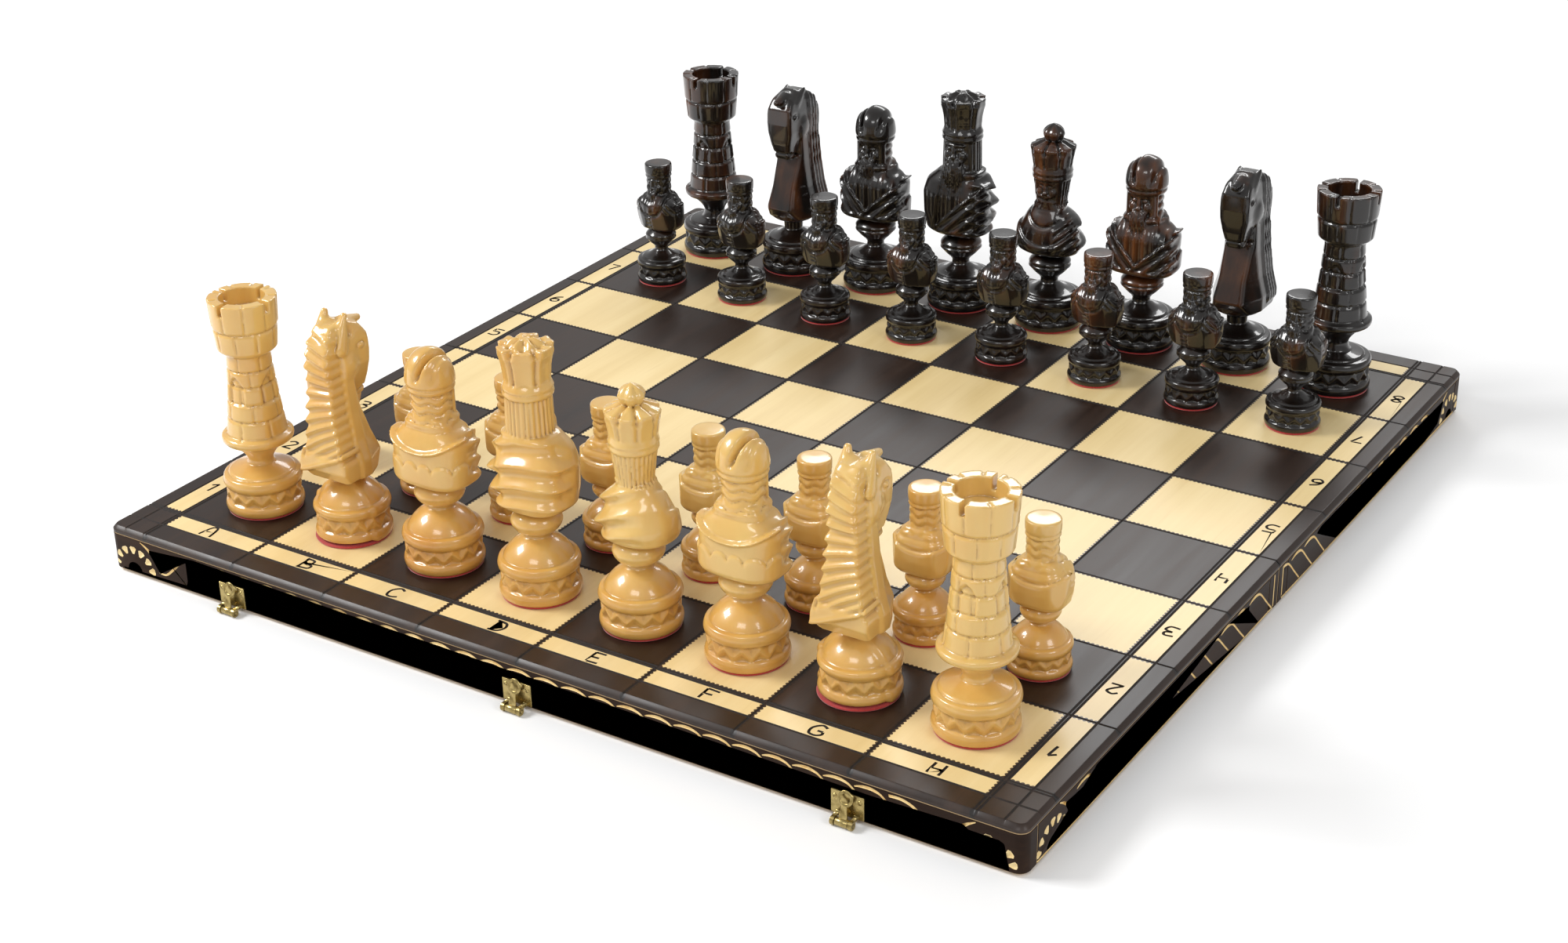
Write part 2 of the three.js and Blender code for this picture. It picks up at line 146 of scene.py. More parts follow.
# %%
class Finish:
    """A material with a Principled shader. Numbers and colours are set on its own sockets."""

    def __init__(self, name, **sockets):
        self.material = bpy.data.materials.new(name)
        self.material.use_nodes = True
        self.tree = self.material.node_tree
        self.shader = self.tree.nodes["Principled BSDF"]
        for socket, value in sockets.items():
            self.shader.inputs[socket.replace("_", " ")].default_value = value
        self.places = self.node("ShaderNodeTexCoord").outputs["Object"]

    def node(self, kind, inputs=(), **options):
        node = self.tree.nodes.new(kind)
        for option, value in options.items():
            setattr(node, option, value)
        for socket, value in dict(inputs).items():
            self.join(value, node.inputs[socket])
        return node

    def join(self, value, socket):
        if isinstance(value, bpy.types.NodeSocket):
            self.tree.links.new(value, socket)
        else:
            socket.default_value = value

    def wear(self, socket, value):
        """Joins a value to one of the shader's sockets."""
        self.join(value, self.shader.inputs[socket])

    def maths(self, operation, *values):
        inputs = dict(enumerate(values))
        return self.node("ShaderNodeMath", inputs, operation=operation).outputs[0]

    def stretched(self, scale):
        """Places on the object, stretched by scale."""
        inputs = {"Vector": self.places, "Scale": scale}
        return self.node("ShaderNodeMapping", inputs).outputs[0]

    def noise(self, scale, detail=3.0, stretch=(1, 1, 1), roughness=0.5, shift=0.0):
        inputs = {
            "Vector": self.stretched(stretch), "Scale": scale, "Detail": detail,
            "Roughness": roughness, "W": shift,
        }  # fmt: skip
        return self.node("ShaderNodeTexNoise", inputs, noise_dimensions="4D").outputs["Fac"]

    def ramp(self, value, *stops):
        """A colour band: each stop is (position, red, green, blue)."""
        node = self.node("ShaderNodeValToRGB", {"Fac": value})
        band = node.color_ramp.elements
        while len(band) < len(stops):
            band.new(0.5)
        for element, (position, *colour) in zip(band, stops):
            element.position = position
            element.color = (*colour, 1)
        return node.outputs["Color"]

    def span(self, value, low, high, to_low=0.0, to_high=1.0):
        """Maps a range of value to another range, and stops at its ends."""
        inputs = {
            "Value": value, "From Min": low, "From Max": high,
            "To Min": to_low, "To Max": to_high,
        }  # fmt: skip
        return self.node("ShaderNodeMapRange", inputs).outputs[0]

    def mix(self, share, first, second, blend="MIX"):
        node = self.node("ShaderNodeMix", data_type="RGBA", blend_type=blend)
        for socket, value in ((0, share), (6, first), (7, second)):
            self.join(value, node.inputs[socket])
        return node.outputs[2]

    def bump(self, height, distance, strength=1.0):
        inputs = {"Height": height, "Distance": distance, "Strength": strength}
        self.wear("Normal", self.node("ShaderNodeBump", inputs).outputs[0])


floor_finish = Finish("pale_floor", Roughness=0.9)
floor_finish.shader.inputs["Specular IOR Level"].default_value = 0.1
floor_finish.shader.inputs["Base Color"].default_value = (0.93, 0.93, 0.93, 1)
floor.data.materials.append(floor_finish.material)

# %% [markdown]
# Birch is pale with a faint, long grain and small silvery flecks across it. On the board its grain
# runs from player to player. Along every burnt line the pricking wheel leaves a row of scorched
# teeth, so the birch and the burnt wood both measure how far they are from the nearest line.

# %%
TOOTH = 2.6  # spacing of the pricking wheel's teeth, in millimetres


def line_teeth(finish):
    """1 on the scorched teeth beside the lines between squares, 0 elsewhere."""
    split = finish.node("ShaderNodeSeparateXYZ", {"Vector": finish.places}).outputs
    teeth = []
    for off, along in ((0, 1), (1, 0)):
        square = SQUARE * MM
        cell = finish.maths("MODULO", finish.maths("ADD", split[off], 20.5 * square), square)
        away = finish.maths("ABSOLUTE", finish.maths("SUBTRACT", cell, 0.5 * square))
        wave = finish.maths("SINE", finish.maths("MULTIPLY", split[along], math.pi / (TOOTH * MM)))
        reach = finish.maths("MULTIPLY_ADD", finish.maths("ABSOLUTE", wave), 1.0 * MM, 0.8 * MM)
        teeth.append(
            finish.span(finish.maths("SUBTRACT", away, reach), -0.1 * MM, 0.15 * MM, 1, 0)
        )
    return finish.maths("MAXIMUM", *teeth)


def wood_grain(finish, stretch, scale=60.0):
    """Long grain and finer pores, each from 0 to 1."""
    rings = finish.noise(scale, 5.0, stretch, 0.6)
    fine = (stretch[0] * 5, stretch[1] * 5, stretch[2] * 5)
    return rings, finish.noise(scale, 2.0, fine, 0.6, 3.0)


birch = Finish("birch", Roughness=0.42, Coat_Weight=0.25, Coat_Roughness=0.2)
rings, pores = wood_grain(birch, (1, 0.06, 1))
tone = birch.ramp(
    rings, (0.25, 0.72, 0.53, 0.235), (0.5, 0.80, 0.615, 0.30), (0.75, 0.86, 0.69, 0.37)
)
flecks = birch.span(pores, 0.62, 0.78, 0, 0.22)
tone = birch.mix(flecks, tone, (0.60, 0.40, 0.16, 1))
birch.wear("Base Color", birch.mix(line_teeth(birch), tone, (0.030, 0.014, 0.006, 1)))
birch.wear("Roughness", birch.span(rings, 0.3, 0.7, 0.36, 0.5))
birch.bump(rings, 0.05 * MM, 0.4)

# %% [markdown]
# Burnt wood is the same birch, darkened with a hot iron and stain and then waxed. It is nearly
# black, shows a little brown where the grain is dense, and shines softly.


# %%
def burnt(name, stretch, teeth=False, wax=0.22, sheen=0.35):
    finish = Finish(name, Coat_Weight=wax, Coat_Roughness=0.3, Specular_IOR_Level=sheen)
    rings, pores = wood_grain(finish, stretch, 70.0)
    tone = finish.ramp(
        rings, (
            0.3, 0.0120, 0.0050, 0.0024
        ), (0.5, 0.021, 0.0095, 0.0048), (0.72, 0.038, 0.019, 0.0105)
    )
    tone = finish.mix(finish.span(pores, 0.55, 0.8, 0, 0.6), tone, (0.009, 0.004, 0.003, 1))
    if teeth:
        tone = finish.mix(line_teeth(finish), tone, (0.006, 0.003, 0.002, 1))
    finish.wear("Base Color", tone)
    finish.wear("Roughness", finish.span(rings, 0.3, 0.7, 0.36, 0.52))
    finish.bump(rings, 0.06 * MM, 0.5)
    return finish.material


burnt_square = burnt("burnt_square", (1, 0.06, 1), teeth=True)
burnt_wall_x = burnt("burnt_wall_along_x", (0.06, 1, 1), wax=0.0, sheen=0.12)
burnt_wall_y = burnt("burnt_wall_along_y", (1, 0.06, 1), wax=0.0, sheen=0.12)

# %%
scorched = Finish("scorched_line", Roughness=0.75)
scorched.wear("Base Color", scorched.ramp(
    scorched.noise(500.0, 2.0), (0.35, 0.006, 0.0035, 0.002), (0.7, 0.022, 0.010, 0.005)
))  # fmt: skip
scorched.bump(scorched.noise(900.0, 2.0), 0.05 * MM, 0.5)

carved = Finish("carved_birch", Roughness=0.5, Coat_Weight=0.15, Coat_Roughness=0.3)
carved.wear("Base Color", carved.ramp(
    carved.noise(260.0, 4.0), (0.3, 0.72, 0.50, 0.20), (
        0.55, 0.85, 0.66, 0.33
    ), (0.8, 0.92, 0.77, 0.45)
))  # fmt: skip
carved.bump(carved.noise(700.0, 3.0), 0.08 * MM, 0.5)

raw = Finish("raw_birch", Roughness=0.62)
rings, pores = wood_grain(raw, (0.06, 1, 1), 55.0)
raw.wear("Base Color", raw.ramp(rings, (0.3, 0.60, 0.41, 0.21), (0.7, 0.72, 0.54, 0.31)))
raw.bump(pores, 0.08 * MM, 0.5)

# %% [markdown]
# Metal: antique brass keeps its yellow on rubbed edges and turns brown in the corners. The hinge
# pins are plain steel.

# %%
brass = Finish("antique_brass", Metallic=1.0)
worn = brass.node("ShaderNodeNewGeometry").outputs["Pointiness"]
patina = brass.maths("ADD", brass.noise(320.0, 4.0), brass.span(worn, 0.42, 0.56, -0.25, 0.25))
brass.wear("Base Color", brass.ramp(
    patina, (0.25, 0.045, 0.030, 0.012), (0.5, 0.20, 0.145, 0.050), (0.8, 0.50, 0.39, 0.16)
))  # fmt: skip
brass.wear("Roughness", brass.span(patina, 0.3, 0.8, 0.5, 0.26))
brass.bump(brass.noise(1400.0, 2.0), 0.02 * MM, 0.4)

steel = Finish("steel", Metallic=1.0)
scratches = steel.noise(900.0, 3.0, (0.05, 1, 1))
steel.wear("Base Color", steel.ramp(scratches, (0.3, 0.42, 0.42, 0.43), (0.7, 0.60, 0.60, 0.60)))
steel.wear("Roughness", steel.span(scratches, 0.3, 0.7, 0.28, 0.42))
steel.bump(scratches, 0.01 * MM, 0.3)

# %% [markdown]
# The light men are lime wood under several coats of honey-coloured lacquer. Its colour deepens
# towards the foot, the hollows are darkened with painted shade, and each man differs a little in
# tone. The dark men are stained almost black, and the stain has gone on thinly on the flat cuts of
# the busts, where red-brown wood glows through. Both are very glossy.

# %%
honey = Finish(
    "honey_lacquer", Roughness=0.34, Coat_Weight=0.85, Coat_Roughness=0.10, Subsurface_Weight=0.12,
    Subsurface_Radius=(1.0, 0.55, 0.25), Subsurface_Scale=2.5 * MM,
)  # fmt: skip
own = honey.node("ShaderNodeObjectInfo").outputs["Random"]
own_shift = honey.maths("MULTIPLY", own, 40.0)
mottle = honey.noise(38.0, 3.0, (1, 1, 0.6), 0.55, own_shift)
streak = honey.noise(90.0, 4.0, (1, 1, 0.06), 0.6, own_shift)
crease_shade = honey.node("ShaderNodeNewGeometry").outputs["Pointiness"]
height = honey.node("ShaderNodeSeparateXYZ", {"Vector": honey.places}).outputs[2]
warmth = honey.maths(
    "ADD", honey.span(mottle, 0.3, 0.7, 0, 0.42), honey.span(height, 0, 60 * MM, 0.38, 0)
)
warmth = honey.maths("ADD", warmth, honey.span(own, 0, 1, -0.12, 0.14))
tone = honey.ramp(
    warmth, (0.1, 0.70, 0.455, 0.135), (0.45, 0.66, 0.37, 0.085), (0.85, 0.56, 0.25, 0.040)
)
tone = honey.mix(honey.span(streak, 0.5, 0.75, 0, 0.28), tone, (0.52, 0.26, 0.05, 1))
# Painted shade: the hollows, found by their pointiness, are darkened where shade falls in the creases.
tone = honey.mix(honey.span(crease_shade, 0.49, 0.42, 0, 0.8), tone, (0.30, 0.13, 0.018, 1))
honey.wear("Base Color", tone)
honey.bump(streak, 0.04 * MM, 0.25)

# %%
dark = Finish(
    "dark_lacquer", Roughness=0.3, Coat_Weight=0.8, Coat_Roughness=0.05, Specular_IOR_Level=0.3
)
own = dark.node("ShaderNodeObjectInfo").outputs["Random"]
own_shift = dark.maths("MULTIPLY", own, 40.0)
patches = dark.noise(45.0, 2.0, (1, 1, 0.45), 0.5, own_shift)
streak = dark.noise(110.0, 4.0, (1, 1, 0.08), 0.6, own_shift)
edge = dark.node("ShaderNodeNewGeometry").outputs["Pointiness"]
height = dark.node("ShaderNodeSeparateXYZ", {"Vector": dark.places}).outputs[2]
thin = dark.maths(
    "MULTIPLY", dark.span(patches, 0.48, 0.68), dark.span(height, 34 * MM, 44 * MM, 0.12, 1)
)
thin = dark.maths("MULTIPLY", thin, dark.span(edge, 0.47, 0.52, 0.1, 1))
glow = dark.ramp(
    streak, (0.3, 0.030, 0.009, 0.003), (0.5, 0.085, 0.025, 0.006), (0.72, 0.17, 0.055, 0.012)
)
dark.wear("Base Color", dark.mix(thin, (0.0045, 0.0026, 0.0018, 1), glow))
dark.bump(streak, 0.05 * MM, 0.3)

# %% [markdown]
# Felt is glued under each man. Its edge shows as a thin, fuzzy, red line.

# %%
felt = Finish("red_felt", Roughness=0.95, Sheen_Weight=0.5, Sheen_Roughness=0.6)
fluff = felt.noise(1500.0, 3.0)
felt.wear("Base Color", felt.ramp(fluff, (0.3, 0.30, 0.006, 0.005), (0.7, 0.50, 0.015, 0.012)))
felt.bump(fluff, 0.15 * MM, 0.8)
print("finishes:", len(bpy.data.materials))

# %% [markdown]
# ## Gouges and chips
# The lines on the walls and the letters are cut into the wood, so they are cut here too. One tool
# is a round gouge pushed along a path, wide where it is pressed hard. The other is a chip: an
# outline whose sides slope to one deep point. Both are closed solids that are later taken away
# from the wood by a boolean. A carving is drawn flat, in millimetres: u to the right and v up.

# %%
LIFT = 0.4  # how far a tool stands above the surface, in millimetres


class Carving:
    """A drawing of gouge strokes and chips, kept as corners (u, v, outwards) and faces."""

    def __init__(self):
        self.corners, self.faces = [], []

    def stroke(self, path, depth=0.62, smooth=5):
        """path is a list of (u, v, width). The depth is a share of the width."""
        path = flowing(path, smooth)
        first = len(self.corners)
        for i, (u, v, width) in enumerate(path):
            before, after = path[max(i - 1, 0)], path[min(i + 1, len(path) - 1)]
            run = math.hypot(after[0] - before[0], after[1] - before[1])
            side = (-(after[1] - before[1]) / run, (after[0] - before[0]) / run)
            deep = depth * width
            for across, down in (
                (-1.25, -LIFT), (-1, 0), (-0.6, 0.75), (0, 1), (0.6, 0.75), (1, 0), (1.25, -LIFT)
            ):
                out = LIFT if down < 0 else -down * deep
                self.corners.append(
                    (u + side[0] * across * width / 2, v + side[1] * across * width / 2, out)
                )
        for i in range(len(path) - 1):
            a, b = first + 7 * i, first + 7 * (i + 1)
            for k in range(7):
                m = (k + 1) % 7
                self.faces.append((a + k, a + m, b + m, b + k))
        last = first + 7 * (len(path) - 1)
        self.faces.append(tuple(range(first + 6, first - 1, -1)))
        self.faces.append(tuple(range(last, last + 7)))

    def chip(self, outline, depth):
        """A chip with an outline drawn anticlockwise, deepest in its middle."""
        first, count = len(self.corners), len(outline)
        middle = [sum(axis) / count for axis in zip(*outline)]
        for grow, out in ((1.15, LIFT), (1.0, 0.0), (0.45, -0.8 * depth)):
            for point in outline:
                u, v = (m + (p - m) * grow for p, m in zip(point, middle))
                self.corners.append((u, v, out))
        self.corners.append((*middle, -depth))
        for i in range(count):
            j = (i + 1) % count
            for ring in (0, count):
                a = first + ring
                self.faces.append((a + i, a + count + i, a + count + j, a + j))
            low = first + 2 * count
            self.faces.append((low + i, first + 3 * count, low + j))
        self.faces.append(tuple(range(first, first + count)))

    def tool(self, name, place, material):
        """The drawing as one closed tool. place turns (u, v, outwards) into metres."""
        mesh = bpy.data.meshes.new(name)
        mesh.from_pydata([place(*corner) for corner in self.corners], [], self.faces)
        mesh.materials.append(material)
        shape = bmesh.new()
        shape.from_mesh(mesh)
        bmesh.ops.recalc_face_normals(shape, faces=shape.faces)
        shape.to_mesh(mesh)
        shape.free()
        tool = bpy.data.objects.new(name, mesh)
        bpy.context.collection.objects.link(tool)
        return tool


def flowing(points, smooth):
    """A smooth path through the points, with smooth steps from each to the next."""
    if len(points) < 3:
        return list(points)
    ends = [points[0], *points, points[-1]]
    path = []
    for a, b, c, d in zip(ends, ends[1:], ends[2:], ends[3:]):
        for t in (i / smooth for i in range(smooth)):
            path.append(tuple(
                0.5 * (2 * q + (r - p) * t + (2 * p - 5 * q + 4 * r - s) * t**2
                       + (3 * q - p - 3 * r + s) * t**3)
                for p, q, r, s in zip(a, b, c, d)
            ))  # fmt: skip
    return path + [tuple(points[-1])]


def carve(piece, *tools):
    """Takes the tools away from a piece of wood, and keeps the result as its mesh."""
    for tool in tools:
        cut = piece.modifiers.new("carve", "BOOLEAN")
        cut.operation, cut.object, cut.solver = "DIFFERENCE", tool, "MANIFOLD"
        cut.material_mode = "TRANSFER"
    settle(piece)


def settle(piece):
    """Applies a piece's modifiers."""
    bpy.context.view_layer.update()
    evaluated = piece.evaluated_get(bpy.context.evaluated_depsgraph_get())
    mesh = bpy.data.meshes.new_from_object(evaluated)
    piece.modifiers.clear()
    piece.data = mesh
    mesh.set_sharp_from_angle(angle=math.radians(28))


# %% [markdown]
# ## The playing surface
# Each half has a 4 mm plywood top. The squares are burnt, and the lines between them are ruled with
# a hot tool that leaves a shallow round groove, out to the bevelled edge. A sheet ruled with the
# same lines gives both: its corners follow the grooves down, and each face takes the finish of the
# cell that it lies in.

# %%
LINE_HALF, LINE_DEPTH = 0.75, 0.5
LINES = [k * SQUARE for k in range(-4, 5)] + [s * v for s in (-1, 1) for v in STRIP]
EDGE = [(0, 0), (0.35, 0.12), (2.1, 1.95), (2.4, 2.4), (2.4, 3.85), (2.25, 4.0)]  # out, down
INSET = EDGE[-2][0]
CORNER_R = 6.0 - INSET


def from_line(value):
    return min(abs(value - line) for line in LINES)


def groove_depth(x, y):
    away = min(from_line(x), from_line(y))
    return LINE_DEPTH * max(0.0, 1 - (away / LINE_HALF) ** 2)


def ruled(low, high, corners):
    """The sheet's own lines between low and high, close together at grooves and corners."""
    rows = {low, high}
    rows |= {line + off for line in LINES for off in (-0.75, -0.45, 0, 0.45, 0.75)}
    for end, inwards in corners:
        rows |= {end + inwards * CORNER_R * (1 - math.sin(math.radians(15 * k))) for k in range(6)}
    return sorted(row for row in rows if low <= row <= high)


def rounded(x, y, half_x, half_y):
    """Moves a point of the square-cornered sheet so that its outer corners become round."""
    a = (abs(x) - half_x + CORNER_R) / CORNER_R
    b = (abs(y) - half_y + CORNER_R) / CORNER_R
    if a <= 0 or b <= 0:
        return x, y
    pull = max(a, b) / math.hypot(a, b)
    return (
        math.copysign(half_x - CORNER_R + a * pull * CORNER_R, x),
        math.copysign(half_y - CORNER_R + b * pull * CORNER_R, y),
    )


def cell_finish(x, y):
    """0 birch, 1 burnt or 2 a scorched line, for a place on the top."""
    if min(from_line(x), from_line(y)) < LINE_HALF * 0.95:
        return 2
    inside = sorted((abs(x), abs(y)))
    if inside[1] < FIELD:
        return 1 - (math.floor(x / SQUARE) + math.floor(y / SQUARE)) % 2
    lettered = STRIP[0] < inside[1] < STRIP[1] and inside[0] < FIELD
    return 0 if lettered else 1


def board_top(name, side):
    """One half's plywood top. side is -1 for the near half and 1 for the far half."""
    half_x, half_y = HALF_X - INSET, HALF_Y - INSET
    xs = ruled(-half_x, half_x, [(-half_x, 1), (half_x, -1)])
    seam = 0.3
    ys = [side * y for y in ruled(seam, half_y, [(half_y, -1)])]
    corners, faces, finishes = [], [], []
    for x in xs:
        for y in ys:
            flat = rounded(x, y, half_x, half_y)
            corners.append((*flat, TOP - groove_depth(*flat)))
    wide, deep = len(xs), len(ys)
    for i in range(wide - 1):
        for j in range(deep - 1):
            a = i * deep + j
            faces.append((a, a + deep, a + deep + 1, a + 1))
            finishes.append(cell_finish((xs[i] + xs[i + 1]) / 2, (ys[j] + ys[j + 1]) / 2))
    # The rim: round the outer edges from one end of the fold to the other, then along the fold.
    outer = [(0, j) for j in range(deep)] + [(i, deep - 1) for i in range(1, wide)]
    outer += [(wide - 1, j) for j in range(deep - 2, -1, -1)]
    fold = [(i, 0) for i in range(wide - 2, 0, -1)]
    ring = [i * deep + j for i, j in outer + fold]
    for step, ((_, d0), (out, down)) in enumerate(zip(EDGE, EDGE[1:])):
        start = len(corners)
        for i, j in outer + fold:
            x, y, z = corners[i * deep + j]
            if j == 0 and 0 < i < wide - 1:
                corners.append((x, y, min(z, TOP - down) if down < 4 else PANEL_Z))
                continue
            cx = math.copysign(min(abs(x), half_x - CORNER_R), x)
            cy = side * min(abs(y), half_y - CORNER_R)
            away = math.hypot(x - cx, y - cy)
            share = out / away
            drop = max(down, TOP - z) if down < 4 else TOP - PANEL_Z
            corners.append((x + (x - cx) * share, y + (y - cy) * share, TOP - drop))
        new = list(range(start, len(corners)))
        for k in range(len(ring)):
            m = (k + 1) % len(ring)
            faces.append((ring[k], ring[m], new[m], new[k]))
            finishes.append(1)
        ring = new
    faces.append(tuple(ring))
    finishes.append(3)
    mesh = bpy.data.meshes.new(name)
    mesh.from_pydata([[v * MM for v in corner] for corner in corners], [], faces)
    for finish in (birch.material, burnt_square, scorched.material, raw.material):
        mesh.materials.append(finish)
    mesh.polygons.foreach_set("material_index", finishes)
    shape = bmesh.new()
    shape.from_mesh(mesh)
    bmesh.ops.remove_doubles(shape, verts=shape.verts, dist=1e-6)
    bmesh.ops.recalc_face_normals(shape, faces=shape.faces)
    shape.to_mesh(mesh)
    shape.free()
    top = bpy.data.objects.new(name, mesh)
    bpy.context.collection.objects.link(top)
    return top


tops = {"near": board_top("near_board_top", -1), "far": board_top("far_board_top", 1)}
print("faces in each half's top:", [len(top.data.polygons) for top in tops.values()])

# %% [markdown]
# Letters and numbers are written freehand with a hot point, so they are strokes of the same round
# gouge. A sign is drawn in a box one unit wide and one unit high. Those on the far side and on
# the right are turned round, to be read by the other player.

# %%
SIGNS = {
    "A": [[(0, 0), (0.25, 0.95), (0.72, 1), (1, 0)], [(0.1, 0.45), (0.9, 0.45)]],
    "B": [[(0.12, 0), (0.15, 1)], [(0, 1), (0.7, 0.93), (0.72, 0.62), (0.15, 0.5)],
          [(0.15, 0.5), (0.92, 0.42), (0.9, 0.08), (0, 0)]],
    "C": [[(0.95, 0.85), (0.5, 1), (0.05, 0.6), (0.12, 0.1), (0.5, 0), (0.95, 0.15)]],
    "D": [[(0.2, 0), (0.22, 1)], [(0, 1), (0.75, 0.92), (1, 0.5), (0.7, 0.06), (0, 0)]],
    "E": [[(0.9, 1), (0.12, 0.98)], [(0.12, 1), (0.1, 0)], [(0.1, 0), (0.95, 0.04)],
          [(0.1, 0.5), (0.7, 0.52)]],
    "F": [[(0.12, 0), (0.1, 1)], [(0.1, 1), (1, 0.96)], [(0.1, 0.5), (0.75, 0.54)]],
    "G": [[(0.95, 0.85), (0.5, 1), (0.05, 0.6), (0.12, 0.1), (0.6, 0), (0.95, 0.2), (0.9, 0.45)],
          [(0.9, 0.45), (0.5, 0.45)]],
    "H": [[(0.1, 0), (0.12, 1)], [(0.9, 0), (0.88, 1)], [(0.1, 0.5), (0.9, 0.52)]],
    "1": [[(0.15, 0.72), (0.6, 1)], [(0.6, 1), (0.5, 0)]],
    "2": [[(0.1, 0.8), (0.45, 1), (0.85, 0.75), (0.15, 0.05)], [(0.1, 0.04), (0.95, 0.04)]],
    "3": [[(0.1, 0.95), (0.7, 1), (0.8, 0.7), (0.35, 0.55)],
          [(0.35, 0.55), (0.9, 0.42), (0.7, 0.03), (0.05, 0.05)]],
    "4": [[(0.1, 1), (0.12, 0.5)], [(0.12, 0.5), (0.82, 0.5)], [(0.82, 1), (0.8, 0)]],
    "5": [[(0.95, 1), (0.2, 0.97)], [(0.2, 1), (0.15, 0.58)],
          [(0.15, 0.58), (0.7, 0.6), (0.9, 0.3), (0.6, 0.02), (0.05, 0.05)]],
    "6": [[(0.8, 1), (0.3, 0.75), (0.08, 0.3), (0.4, 0), (0.85, 0.2), (0.7, 0.5), (0.15, 0.4)]],
    "7": [[(0.05, 0.95), (0.85, 1)], [(0.85, 1), (0.4, 0)]],
    "8": [[(0.5, 0.55), (0.15, 0.8), (0.5, 1), (0.85, 0.8), (0.5, 0.55), (0.1, 0.25), (0.5, 0),
           (0.9, 0.25), (0.5, 0.55)]],
}  # fmt: skip
SIGN_WIDE, SIGN_HIGH, PEN = 7.8, 9.4, 1.55


def write_sign(carving, sign, u, v, turned_round):
    way = -1 if turned_round else 1
    for stroke in SIGNS[sign]:
        points = [
            (u + way * (x - 0.5) * SIGN_WIDE, v + way * (y - 0.5) * SIGN_HIGH, PEN)
            for x, y in stroke
        ]
        carving.stroke(points, 0.4)


def on_top(u, v, out):
    return Vector((u, v, TOP + out)) * MM


strip_middle = sum(STRIP) / 2
writing = {"near": Carving(), "far": Carving()}
for place in range(8):
    middle = (place - 3.5) * SQUARE
    astray = (-4, 3, 0, 4, 1, 4, 2, 2)[place]  # written by eye, so never quite in the middle
    write_sign(writing["near"], "ABCDEFGH"[place], middle + astray, -strip_middle, False)
    write_sign(writing["far"], "ABCDEFGH"[place], middle, strip_middle, True)
    half = "near" if place < 4 else "far"
    write_sign(writing[half], str(place + 1), -strip_middle, middle, False)
    write_sign(writing[half], str(place + 1), strip_middle, middle, True)
tools = []
for half, carving in writing.items():
    tools.append(carving.tool(f"{half}_pen", on_top, scorched.material))
    carve(tops[half], tools[-1])
    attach(tops[half], f"{half}_half")
    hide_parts(f"{half}_top_panel")
    print(tops[half].name, len(tops[half].data.polygons), "faces after writing")

# %% [markdown]
# ## The walls
# Four walls stand under each top. The outer ones are burnt dark and then carved, so that the pale
# wood shows in every cut: a rope of slanting strokes, an S at each of its ends, a two-pointed leaf
# and half a rosette at the corners. Each wall is drawn once and used for the wall opposite too,
# turned half round. Heights are shares of a square below the top.

# %%
WALL_SCALE = (TOP - rim) / 0.43  # the drawing's depth of 0.43 fills the wall
ROPE = [
    (0, -0.125, 0.5), (0.05, -0.110, 1.3), (0.11, -0.103, 1.8), (0.17, -0.110, 1.6),
    (0.24, -0.145, 1.15), (0.37, -0.28, 1.05), (0.49, -0.402, 1.0),
]  # fmt: skip


def drawn(points, shift=0.0, mirror=1):
    """Turns drawing points (u and v in squares, width) into millimetres on a wall."""
    return [(mirror * (u + shift) * SQUARE, TOP + v * WALL_SCALE, w) for u, v, w in points]


def clipped(points, low, high):
    """The part of a path between u = low and u = high."""
    fine = flowing(points, 8)
    return [point for point in fine if low <= point[0] <= high][::3] or fine[:1]


def rope(carving, foot_of_first, pitch, count, low=-9.0, high=9.0):
    """Slanting strokes, each bent over at its top to meet the one before."""
    for i in range(count):
        start = foot_of_first + pitch * i - 0.49
        path = [(u + start, v, w) for u, v, w in ROPE]
        part = clipped(path, low, high)
        if len(part) > 1:
            carving.stroke(drawn(part), smooth=2)


def corner_motif(carving, shift, mirror):
    """Half a rosette on the bottom line, a leaf beside it and the S that starts the rope."""
    centre = -4.16 + shift
    for k in range(7):
        turn = math.radians(12 + 26 * k)
        petal = []
        for angle, radius in (
            (-9.5, 0.232), (-3.5, 0.172), (3.5, 0.172), (9.5, 0.232), (5, 0.247), (-5, 0.247)
        ):
            at = turn + math.radians(angle)
            petal.append((centre + radius * math.cos(at), -0.405 + radius * math.sin(at), 0))
        carving.chip([(u, v) for u, v, _ in drawn(petal, 0, mirror)][::mirror], 0.9)
    dome = [math.radians(180 * k / 8) for k in range(9)]
    disc = [(centre + 0.085 * math.cos(a), -0.405 + 0.085 * math.sin(a), 0) for a in dome]
    carving.chip([(u, v) for u, v, _ in drawn(disc, 0, mirror)][::mirror], 1.0)
    leaf = [(-3.86, -0.35, 0.9), (-3.875, -0.27, 1.6), (-3.925, -0.19, 2.4), (-3.99, -0.13, 1.5),
            (-4.06, -0.088, 0.5)]  # fmt: skip
    carving.stroke(drawn(leaf, shift, mirror))
    carving.stroke(
        drawn([(-3.965, -0.155, 1.7), (-3.90, -0.158, 1.6), (-3.81, -0.18, 0.5)], shift, mirror)
    )


S_START = [
    (-3.86, -0.345, 1.0), (-3.78, -0.338, 1.2), (-3.68, -0.25, 1.4), (-3.58, -0.15, 1.5),
    (-3.47, -0.106, 1.6), (-3.36, -0.108, 1.5),
]  # fmt: skip


def ends(carving, left_shift, right_shift):
    for shift, mirror in ((left_shift, 1), (right_shift, -1)):
        corner_motif(carving, shift, mirror)
        carving.stroke(drawn(S_START, shift, mirror))


front = Carving()
ends(front, 0.0, 0.03)
front.stroke(drawn([(-3.70, -0.235, 0.9), (-3.54, -0.402, 1.0)]))
front.stroke(drawn([(-3.53, -0.14, 0.9), (-3.28, -0.402, 1.0)]))
rope(front, -3.016, 0.262, 26)
front.stroke(drawn([(-4.3, -0.412, 1.0), (4.3, -0.412, 1.0)]))

